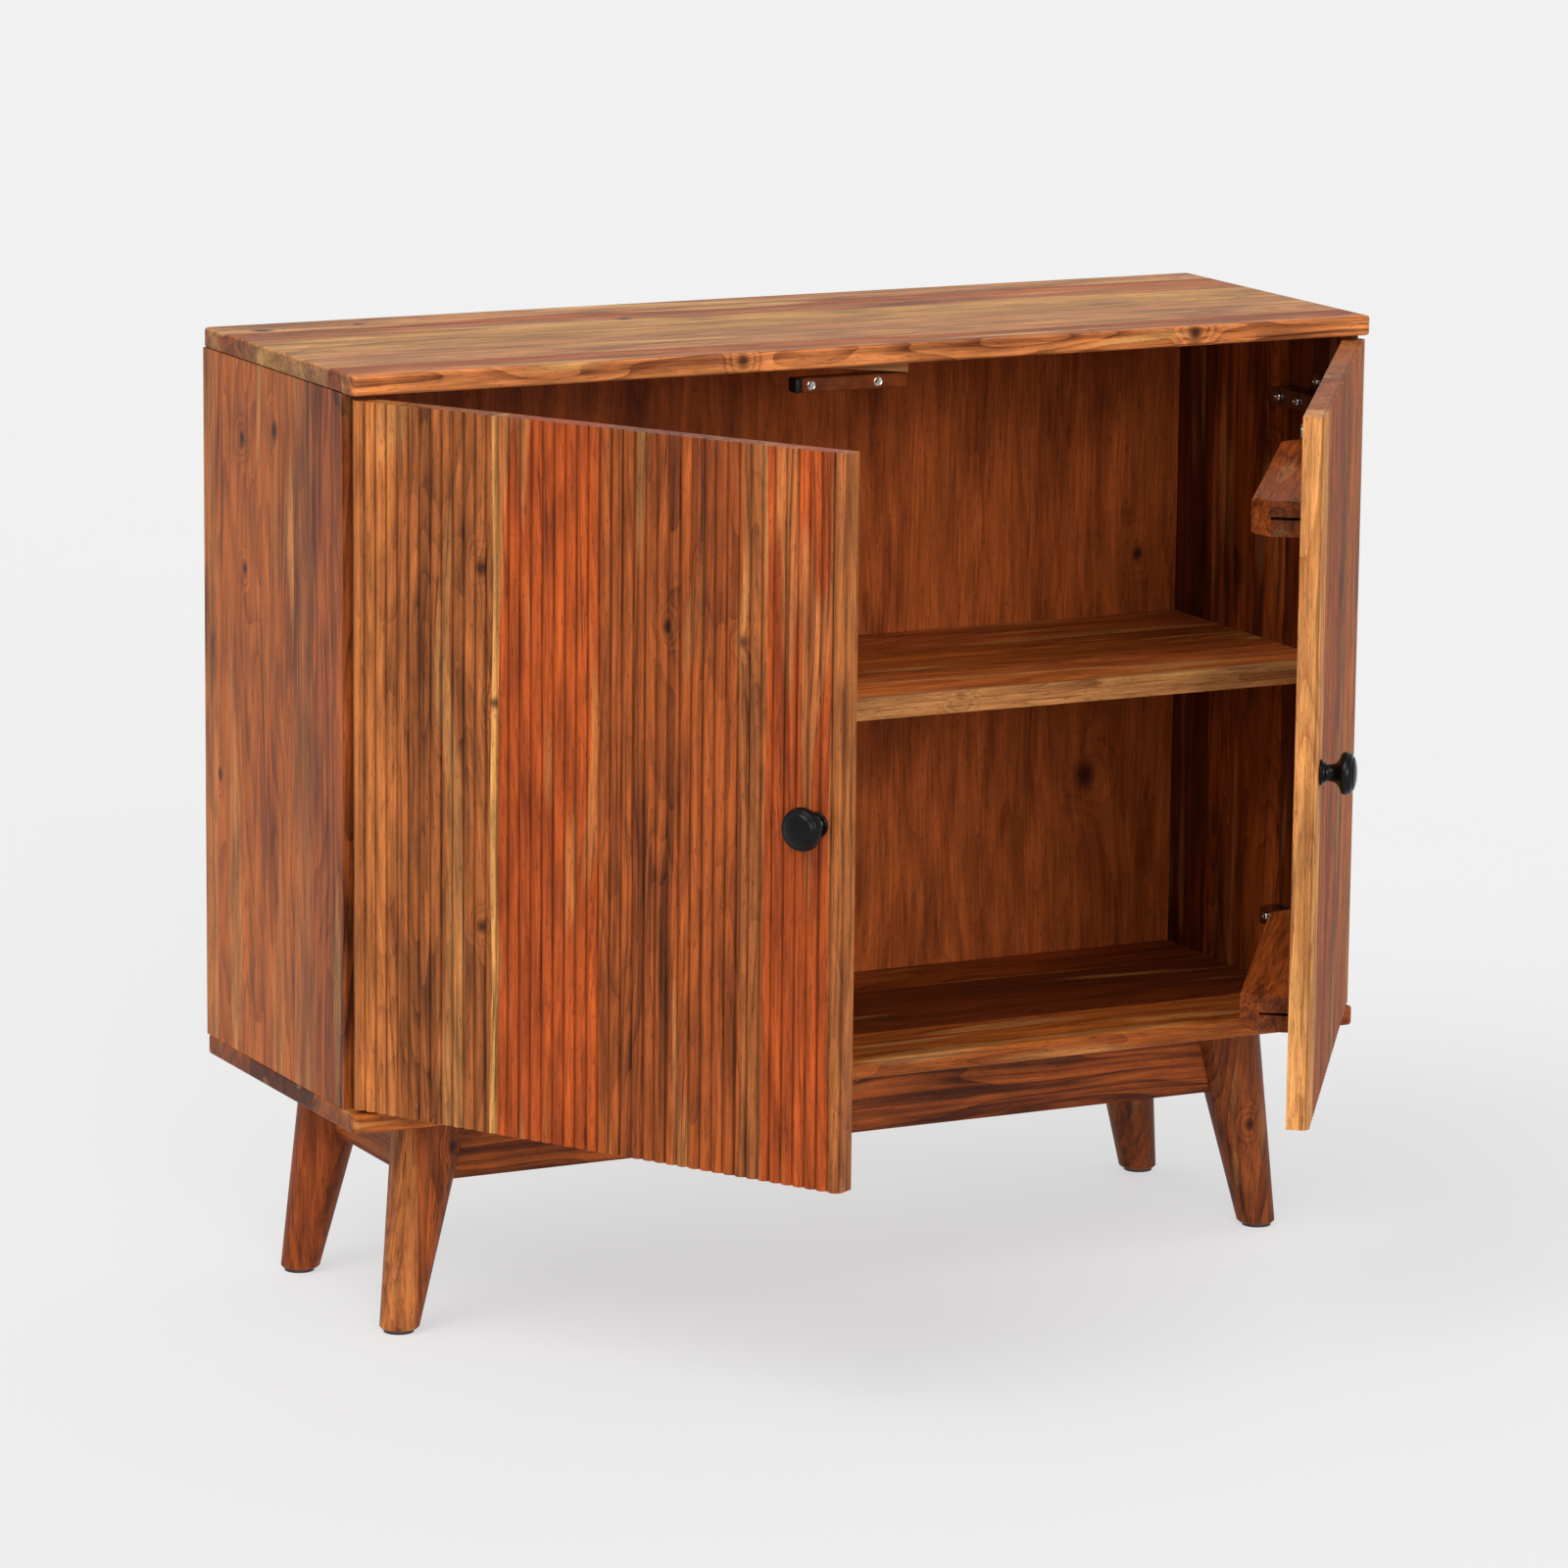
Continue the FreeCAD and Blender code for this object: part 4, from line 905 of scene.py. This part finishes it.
@dataclass
class Carcass:
    """The box: two boards, two sides, a shelf, a back and their dowels."""

    seed: float = 0.11

    def dress_boards(self) -> None:
        """Give the top, the bottom and the shelf their planks, laid along X."""
        flat = Lay(Axis.X, Axis.Y)
        top = Acacia(
            "acacia_top_board", flat,
            (Plank(-150, *SAP, 0.55, 0.6), Plank(-142, *TAN, 0.5, 0.5),
             Plank(-128, *ORANGE, 0.5, 0.4), Plank(-104, *HONEY, 0.35, 0.5),
             Plank(-22, *STRAW, 0.3, 0.45),
             Plank(50, *TAN, 0.5, 0.4), Plank(84, *ORANGE, 0.4, 0.5),
             Plank(112, *HONEY, 0.5, 0.5)),
            (Knot(-152, 285, 5, 762), Knot(-152, -120, 4, 762), Knot(-140, 195, 3, 768),
             Knot(66, -120, 5, 768), Knot(118, -330, 4, 768), Knot(112, -415, 7, 768)),
            seed=self.seed, sapwood=0.85, drift=26.0,
        )
        bottom = Acacia(
            "acacia_bottom_board", flat,
            (Plank(-150, *ORANGE, 0.4, 0.5), Plank(-70, *DUSKY, 0.4, 0.4),
             Plank(60, *RED_BROWN, 0.4, 0.5)),
            seed=self.seed + 0.3, drift=14.0, sapwood=0.4,
        )
        shelf = Acacia(
            "acacia_shelf", flat,
            (Plank(-150, *HONEY, 0.5, 0.5), Plank(-118, *WARM, 0.4, 0.5),
             Plank(-40, *ORANGE, 0.4, 0.5), Plank(50, *WARM, 0.4, 0.5)),
            (Knot(-128, 90, 4, 476),),
            seed=self.seed + 0.5, sapwood=0.5, drift=10.0,
        )
        dress(["top_board"], top)
        dress(["bottom_board"], bottom)
        dress(["shelf"], shelf)

    def dress_sides(self) -> None:
        """Give the two side panels their planks, laid upright."""
        upright = Lay(Axis.Z, Axis.Y)
        left = Acacia(
            "acacia_left_side", upright,
            (Plank(-134, *UMBER, 0.5, 0.4), Plank(-73, *OLIVE, 0.3, 0.3),
             Plank(-34, *ORANGE, 0.25, 0.55), Plank(123, *TAN, 0.5, 0.3)),
            (Knot(65, 587, 4, -450), Knot(119, 412, 4, -450), Knot(4, 705, 6, -450),
             Knot(70, 690, 5, -450)),
            seed=self.seed + 0.2, drift=12.0, mottling=0.5,
        )
        right = Acacia(
            "acacia_right_side", upright,
            (Plank(-134, *DUSKY, 0.6, 0.4), Plank(-50, *RED_BROWN, 0.6, 0.5),
             Plank(70, *DUSKY, 0.5, 0.4)),
            (Knot(-20, 640, 5, 440), Knot(40, 330, 4, 440)),
            seed=self.seed + 0.7, drift=12.0, mottling=0.5,
        )
        dress(["side_panel_left"], left)
        dress(["side_panel_right"], right)

    def dress_back(self) -> None:
        """Give the back its stained plywood and the dowels their beech."""
        # Peeled veneer shows wide faint arches and hardly any lines, under a flat stain.
        back = Acacia(
            "stained_rotary_plywood", Lay(Axis.Z, Axis.X),
            (Plank(-450, "#9C4D20", "#662A0E", 0.2, 0.3),),
            (Knot(349, 344, 9, 132), Knot(396, 532, 5, 132)),
            seed=self.seed + 0.4, ring_width=90.0, ring_waver=5.0, streaks=(30.0, 700.0),
            roughness=0.52, knot_colour="#3A170A", lines=0.1, sapwood=0.0, mottling=0.45,
        )
        # Bare beech is pale and even, and duller than the lacquered boards.
        dowels = Acacia(
            "turned_beech", Lay(Axis.X, Axis.Y), (Plank(-450, "#C79F6C", "#A87C4C", 0.3, 0.2),),
            roughness=0.6,
        )
        dress(["back_panel"], back)
        dress(["carcass_dowels", "apron_dowels"], dowels)

    def build(self) -> None:
        """Dress every piece of the box."""
        self.dress_boards()
        self.dress_sides()
        self.dress_back()


@dataclass
class BaseFrame:
    """The four splayed legs, the aprons, the corner braces and their hardware."""

    def build(self) -> None:
        """Dress every piece under the box, with painted shade in three of the legs' tones."""
        upright = Lay(Axis.Z, Axis.X)
        # Each leg's planks. The front right and both rear legs are also darker as painted shade,
        # for the shade that falls on them.
        leg_tones_with_painted_shade = {
            "front_left": (Plank(-450, *TAN, 0.5, 0.4), Plank(-382, *RED_BROWN, 0.6, 0.5)),
            "front_right": (Plank(0, "#82401A", "#441C09", 0.5, 0.6),),
            "rear_left": (Plank(-450, "#8A4018", "#522009", 0.4, 0.4),),
            "rear_right": (Plank(0, "#6E3413", "#3A1807", 0.5, 0.5),),
        }
        knots = {
            "front_left": (Knot(-352, 150, 4, -118),),
            "front_right": (Knot(372, 92, 4, -120),),
        }
        for i, (corner, planks) in enumerate(leg_tones_with_painted_shade.items()):
            finish = Acacia(
                f"turned_acacia_{corner}", upright, planks, knots.get(corner, ()),
                seed=0.23 * i, ring_width=11.0,
            )
            dress([f"leg_{corner}"], finish)
        along = Acacia(
            "acacia_aprons", Lay(Axis.X, Axis.Z),
            (Plank(118, *RED_BROWN, 0.7, 0.6),), seed=0.4, ring_waver=5.0,
        )
        across = Acacia(
            "acacia_end_aprons", Lay(Axis.Y, Axis.Z),
            (Plank(118, *ORANGE, 0.6, 0.5),), seed=0.8,
        )
        dress(["apron_front", "apron_rear"], along)
        dress(["apron_left", "apron_right"] + [f"corner_brace_{c}" for c in leg_tones_with_painted_shade], across)
        dress(["glides"], GLIDE_PLASTIC)
        dress(["brace_bolts", "brace_nuts", "frame_screws"], ZINC_STEEL)


@dataclass
class Door:
    """One reeded door with its battens, hinge cups, knob, strike and screws.

    Setbacks are measured from the pivot line towards the back, in mm.
    """

    side: Side
    planks: tuple[Plank, ...]
    knots: tuple[Knot, ...]
    reed_depth: float = 3.0
    face_setback: float = -3.5
    back_setback: float = 14.5
    knob_inset: float = 22.0
    cup_spread: float = 45.0
    cup_screw_along: float = 25.0
    cup_screw_seat: float = 15.5
    meeting_gap: float = 1.5
    knob_sides: int = 64
    # Radius and height of each ring, from the flange to the crown.
    knob_profile: tuple[tuple[float, float], ...] = (
        (9.4, 0.0), (10.0, 0.5), (10.0, 2.0), (9.5, 2.5), (8.4, 2.6), (8.2, 3.0), (8.2, 4.1),
        (7.7, 4.6), (6.9, 5.2), (6.5, 7.0), (6.7, 9.6), (7.6, 12.0), (9.6, 14.0), (12.6, 15.4),
        (15.2, 16.6), (16.3, 18.4), (16.5, 20.4), (16.2, 22.4), (15.6, 23.8), (15.0, 24.6),
        (14.2, 24.9), (13.6, 24.8), (13.2, 25.0), (12.9, 25.6), (12.2, 26.3), (10.0, 27.1),
        (7.0, 27.8), (3.6, 28.2), (0.6, 28.3),
    )

    @property
    def body(self) -> str:
        """Return the name of the body that the door is."""
        return f"door_{self.side.word}"

    @property
    def joint(self) -> dict[str, Any]:
        """Return the door's joint."""
        return next(j for j in frame["joints"] if j["child"] == self.body)

    @property
    def width(self) -> float:
        """Return how far the free edge is from the pivot line, in metres."""
        return abs(self.joint["pos_m"][0]) - self.meeting_gap * MM

    @property
    def knob_place(self) -> float:
        """Return how far the knob is from the pivot line, in metres."""
        return self.width - self.knob_inset * MM

    @property
    def opened(self) -> float:
        """Return how far the door stands open at rest, as a turn about Z."""
        return self.side.value * math.radians(-self.joint["range_deg"][0])

    def lay(self, grain: Axis, across: Axis) -> Lay:
        """Return a lay whose X runs from the pivot line to the free edge."""
        x, y, _ = self.joint["pos_m"]
        turn = self.opened + (math.pi if self.side is Side.RIGHT else 0.0)
        return Lay(grain, across, (x, y, 0.0), turn)

    def to_door(self, along: float, setback: float, level: float) -> Matrix:
        """Return the placement of a point of the door, with Z pointing out of its front.

        Args:
            along: How far from the pivot line towards the free edge, in metres.
            setback: How far behind the pivot line, in metres.
            level: The height above the floor, in metres.

        Returns:
            The placement in the cabinet's frame.
        """
        x, y, _ = self.joint["pos_m"]
        hinge = Matrix.Translation((x, y, 0)) @ Matrix.Rotation(self.opened, 4, "Z")
        local = Matrix.Translation((-self.side.value * along, setback, level))
        return hinge @ local @ Matrix.Rotation(math.radians(90), 4, "X")

    def dress_panel(self) -> None:
        """Give the reeded panel and its battens their planks, and paint shade into the reeds'
        valleys.
        """
        word = self.side.word
        # On the right door the lay is turned half round, so its depth runs forwards.
        panel = Acacia(
            f"reeded_acacia_{word}", self.lay(Axis.Z, Axis.X), self.planks, self.knots,
            seed=0.31 if self.side is Side.LEFT else 0.77, streaks=(6.0, 700.0),
            # The reeds' valleys are darkened with painted shade.
            valley=(self.face_setback + self.reed_depth) * -self.side.value,
            end_shade=0.95, drift=9.0,
        )
        battens = Acacia(
            f"acacia_battens_{word}", self.lay(Axis.X, Axis.Z),
            (Plank(200, *RED_BROWN, 0.4, 0.5),), seed=0.5,
        )
        dress([f"door_panel_{word}"], panel)
        dress([f"batten_upper_{word}", f"batten_lower_{word}"], battens)
        dress([f"hinge_cup_upper_{word}", f"hinge_cup_lower_{word}", f"strike_{word}"],
              NICKEL_STEEL)
        dress([f"batten_screws_{word}"], ZINC_STEEL)

    def make_knob(self) -> Object:
        """Turn the knob: a flange, a ring, a waisted neck and a domed head with a step.

        Returns:
            The knob.
        """
        node = f"knob_{self.side.word}"
        knob = lathe(self.knob_profile, self.knob_sides)
        bpy.ops.object.shade_smooth_by_angle(angle=math.radians(38))
        settle(knob, self.to_door(self.knob_place, self.face_setback * MM, mid_level(node)))
        piece = finish_piece(knob, f"turned_{node}", self.body,
                             BLACK_LACQUER.build())
        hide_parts(node)
        return piece

    def make_cup_screws(self) -> Object:
        """Model the four screws that hold the hinge cups to the door's back.

        Returns:
            The joined screws.
        """
        word = self.side.word
        low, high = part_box(f"cup_screws_{word}")
        levels = [z + sign * (HEAD_RADIUS + step) * MM
                  for z, sign in ((low[2], 1), (high[2], -1)) for step in (0, self.cup_spread)]
        along, setback = self.cup_screw_along * MM, self.cup_screw_seat * MM
        places = [self.to_door(along, setback, level) @ TURNED_OVER for level in levels]
        piece = finish_piece(copies_of(cross_screw(), places), f"cross_screws_{word}",
                             self.body, ZINC_STEEL.build())
        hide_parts(f"cup_screws_{word}")
        return piece

    def make_knob_screw(self) -> Object:
        """Model the screw that holds the knob, its head sunk flush in the door's back.

        Returns:
            The screw.
        """
        node = f"knob_screw_{self.side.word}"
        place = self.to_door(self.knob_place, self.back_setback * MM, mid_level(node))
        screw = copies_of(cross_screw(sunk=True), [place @ TURNED_OVER])
        piece = finish_piece(screw, f"sunk_{node}", self.body, ZINC_STEEL.build())
        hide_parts(node)
        return piece

    def build(self) -> None:
        """Model and dress the whole door."""
        self.dress_panel()
        self.make_knob()
        self.make_knob_screw()
        self.make_cup_screws()


@dataclass
class Hardware:
    """The fixed halves of the hinges and the magnetic catch."""

    plate_spread: float = 32.0
    plate_screw_seat: float = 2.0
    catch_round: float = 2.2
    lath_round: float = 0.4
    lath_taper: float = 7.5
    screw_depth: float = 0.3
    magnet_sides: int = 32
    # Radius and height of each ring, from behind the housing's face to the rim.
    magnet_profile: tuple[tuple[float, float], ...] = (
        (3.9, -5.0), (3.9, -0.7), (3.7, -0.3), (3.3, -0.1), (3.0, -0.3), (1.4, -0.4), (0.3, -0.4),
    )

    def side_screws(self, node: str, seat: float, levels: Sequence[float],
                    setbacks: Sequence[float]) -> Object:
        """Model screws that go outwards into both side panels, and replace their node.

        Args:
            node: The node that the screws stand for.
            seat: How far from the middle of the cabinet their heads sit, in metres.
            levels: Their heights, in metres.
            setbacks: Their places from front to back, in metres.

        Returns:
            The joined screws.
        """
        places = [
            Matrix.Translation((side.value * seat, y, z))
            @ Matrix.Rotation(-side.value * math.pi / 2, 4, "Y")
            for side in Side for y in setbacks for z in levels
        ]
        piece = finish_piece(copies_of(cross_screw(), places), f"cross_{node}", "cabinet",
                             ZINC_STEEL.build())
        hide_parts(node)
        return piece

    def make_screws(self) -> None:
        """Model the screws of the hinge arms and of their mounting plates."""
        head = HEAD_RADIUS * MM
        low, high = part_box("arm_screws")
        self.side_screws("arm_screws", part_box("hinge_arm_upper_right")[0][0],
                         (low[2] + head, high[2] - head), (low[1] + head, high[1] - head))
        low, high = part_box("plate_screws")
        step = self.plate_spread * MM
        levels = (low[2] + head, low[2] + head + step, high[2] - head, high[2] - head - step)
        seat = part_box("side_panel_right")[0][0] - self.plate_screw_seat * MM
        self.side_screws("plate_screws", seat, levels, ((low[1] + high[1]) / 2,))

    def make_catch(self) -> None:
        """Model the catch's rounded body, its end cap, its screws and its tapered lath."""
        for name, finish, slot in (("catch_body", BROWN_PLASTIC, "brown_plastic"),
                                   ("catch_end_cap", BLACK_PLASTIC, "black_plastic")):
            bar = rounded_bar(*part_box(name), self.catch_round)
            piece = finish_piece(bar, f"rounded_{name}", "cabinet", finish.build())
            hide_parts(name)
        low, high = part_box("catch_packer")
        lath = rounded_bar(low, high, self.lath_round)
        middle_x, middle_z = (low[0] + high[0]) / 2, (low[2] + high[2]) / 2
        select_vertices(lath, lambda place: place.x < middle_x and place.z < middle_z)
        bpy.ops.object.mode_set(mode="EDIT")
        bpy.ops.transform.translate(value=(0, 0, self.lath_taper * MM))
        bpy.ops.object.mode_set(mode="OBJECT")
        packer = Acacia(
            "sawn_pale_lath", Lay(Axis.X, Axis.Y), (Plank(-450, *HONEY, 0.4, 0.4),),
            seed=0.9, roughness=0.6,
        )
        piece = finish_piece(lath, "tapered_packer", "cabinet", packer.build())
        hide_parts("catch_packer")
        low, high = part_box("catch_screws")
        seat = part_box("catch_body")[0][2] + self.screw_depth * MM
        head = HEAD_RADIUS * MM
        places = [Matrix.Translation((x, (low[1] + high[1]) / 2, seat)) @ TURNED_OVER
                  for x in (low[0] + head, high[0] - head)]
        screws = finish_piece(copies_of(cross_screw(sunk=True), places), "sunk_catch_screws",
                              "cabinet", ZINC_STEEL.build())
        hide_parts("catch_screws")

    def make_magnets(self) -> None:
        """Model the catch's two magnets, each a plated disc with a raised rim."""
        low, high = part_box("catch_magnets")
        half = (high[2] - low[2]) / 2
        forwards = Matrix.Rotation(math.pi / 2, 4, "X")
        places = [Matrix.Translation((x, low[1], low[2] + half)) @ forwards
                  for x in (low[0] + half, high[0] - half)]
        magnet = lathe(self.magnet_profile, self.magnet_sides)
        bpy.ops.object.shade_smooth_by_angle(angle=math.radians(32))
        piece = finish_piece(copies_of(magnet, places), "rimmed_magnets", "cabinet",
                             NICKEL_MAGNET.build())
        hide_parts("catch_magnets")

    def build(self) -> None:
        """Model and dress the hinges, their screws and the catch."""
        ends = [f"{level}_{side.word}" for level in ("upper", "lower") for side in Side]
        dress([f"hinge_{part}_{end}" for part in ("plate", "arm") for end in ends], NICKEL_STEEL)
        self.make_screws()
        self.make_catch()
        self.make_magnets()


@dataclass
class Studio:
    """The pale floor, the soft light and the camera."""

    floor_size: float = 60.0
    floor_colour: str = "#8A8A8A"
    floor_glow: float = 0.55
    floor_cloud: float = 3.0  # clouds a metre
    floor_drift: float = 0.015  # how much they lighten and darken it
    world_colour: str = "#FFFFFF"
    world_strength: float = 0.72
    # Each light's name, strength, width, azimuth and height, in degrees.
    lights: tuple[tuple[str, float, float, float, float], ...] = (
        ("wide_key_light", 1.7, 38.0, -62.0, 48.0),
        ("low_front_fill", 1.45, 30.0, -14.0, 17.0),
    )
    eye: Point = (-2.53927, -5.01468, 1.52424)
    azimuth: float = -26.81
    elevation: float = 11.42
    roll: float = 0.58
    lens: float = 161.8
    sensor: float = 36.0
    sight: float = 200.0

    def make_floor(self) -> None:
        """Lay a wide floor of pale painted board."""
        deselect_all()
        bpy.ops.mesh.primitive_plane_add(size=self.floor_size)
        floor = bpy.context.object
        floor.name = "studio_floor"
        material, tree, shader = new_material("matt_pale_floor")
        place = add_node(tree, "TexCoord").outputs["Object"]
        noise = add_node(
            tree, "TexNoise", None, {"Vector": place, "Scale": self.floor_cloud}
        ).outputs[0]
        tone = add_node(
            tree, "MapRange", None,
            {"Value": noise, "To Min": 1 - self.floor_drift, "To Max": 1 + self.floor_drift},
        ).outputs[0]
        colour = add_node(
            tree, "VectorMath", {"operation": "SCALE"},
            {0: linear(self.floor_colour)[:3], "Scale": tone},
        ).outputs[0]
        tree.links.new(colour, shader.inputs["Base Color"])
        shader.inputs["Emission Color"].default_value = linear("#FFFFFF")
        shader.inputs["Emission Strength"].default_value = self.floor_glow
        shader.inputs["Roughness"].default_value = 0.9
        shader.inputs["Specular IOR Level"].default_value = 0.1
        floor.data.materials.append(material)

    def make_light(self) -> None:
        """Add an even white sky, a wide key light from the left and a low fill from the front."""
        world = bpy.data.worlds.new("soft_studio_sky")
        bpy.context.scene.world = world
        world.use_nodes = True
        sky = world.node_tree.nodes["Background"]
        sky.inputs["Color"].default_value = linear(self.world_colour)
        sky.inputs["Strength"].default_value = self.world_strength
        for name, strength, width, azimuth, height in self.lights:
            deselect_all()
            bpy.ops.object.light_add(type="SUN")
            light = bpy.context.object
            light.name = name
            light.data.energy = strength
            light.data.angle = math.radians(width)
            turn, rise = math.radians(azimuth), math.radians(height)
            towards = Vector((math.sin(turn) * math.cos(rise),
                              -math.cos(turn) * math.cos(rise), math.sin(rise)))
            light.rotation_euler = towards.to_track_quat("Z", "Y").to_euler()

    def make_camera(self) -> None:
        """Set the camera at the standing viewer's place, with a long lens."""
        camera = bpy.data.objects.new("viewer", bpy.data.cameras.new("viewer"))
        bpy.context.collection.objects.link(camera)
        azimuth, elevation = math.radians(self.azimuth), math.radians(self.elevation)
        aim = Vector((-math.sin(azimuth) * math.cos(elevation),
                      math.cos(azimuth) * math.cos(elevation), -math.sin(elevation)))
        right = aim.cross(Vector((0, 0, 1))).normalized()
        up = right.cross(aim)
        roll = Matrix.Rotation(-math.radians(self.roll), 3, aim)
        axes = Matrix((roll @ right, roll @ up, -aim)).transposed()
        camera.matrix_world = Matrix.Translation(self.eye) @ axes.to_4x4()
        camera.data.sensor_width = self.sensor
        camera.data.lens = self.lens
        camera.data.clip_end = self.sight
        bpy.context.scene.camera = camera

    def build(self) -> None:
        """Set up the whole studio."""
        self.make_floor()
        self.make_light()
        self.make_camera()
        bpy.context.scene.view_settings.view_transform = "Standard"


def main() -> None:
    """Build every sub-assembly in order."""
    logging.basicConfig(level=logging.INFO, format="%(name)s: %(message)s")
    # Planks of each door, by how far they start from the pivot line.
    left_planks = (
        Plank(-8, *TAN, 0.45, 0.3), Plank(37, *OLIVE, 0.6, 0.4), Plank(124, *STRAW, 0.1, 0.2),
        Plank(129, *RUSSET, 0.3, 0.25), Plank(221, *UMBER, 0.55, 0.35),
        Plank(292, *RED_BROWN, 0.4, 0.35), Plank(350, *OLIVE, 0.4, 0.3),
        Plank(371, *RUSSET, 0.4, 0.3), Plank(428, *TAN, 0.3, 0.3),
    )
    left_knots = (Knot(114, 632, 5), Knot(126, 530, 3.5), Knot(115, 356, 4),
                  Knot(284, 605, 4), Knot(352, 601, 4))
    right_planks = (
        Plank(-8, *TAN, 0.4, 0.3), Plank(60, *ORANGE, 0.4, 0.4), Plank(150, *OLIVE, 0.6, 0.4),
        Plank(230, *RED_BROWN, 0.5, 0.4), Plank(330, *ORANGE, 0.6, 0.3),
        Plank(400, "#C4854A", "#8E5226", 0.3, 0.5),
    )
    right_knots = (Knot(90, 300, 5), Knot(260, 560, 4), Knot(350, 410, 4))
    Studio().build()
    for assembly in (
        Carcass(),
        BaseFrame(),
        Door(Side.LEFT, left_planks, left_knots),
        Door(Side.RIGHT, right_planks, right_knots),
        Hardware(),
    ):
        assembly.build()
        LOG.info("built %s", type(assembly).__name__)


if __name__ == "__main__":
    main()
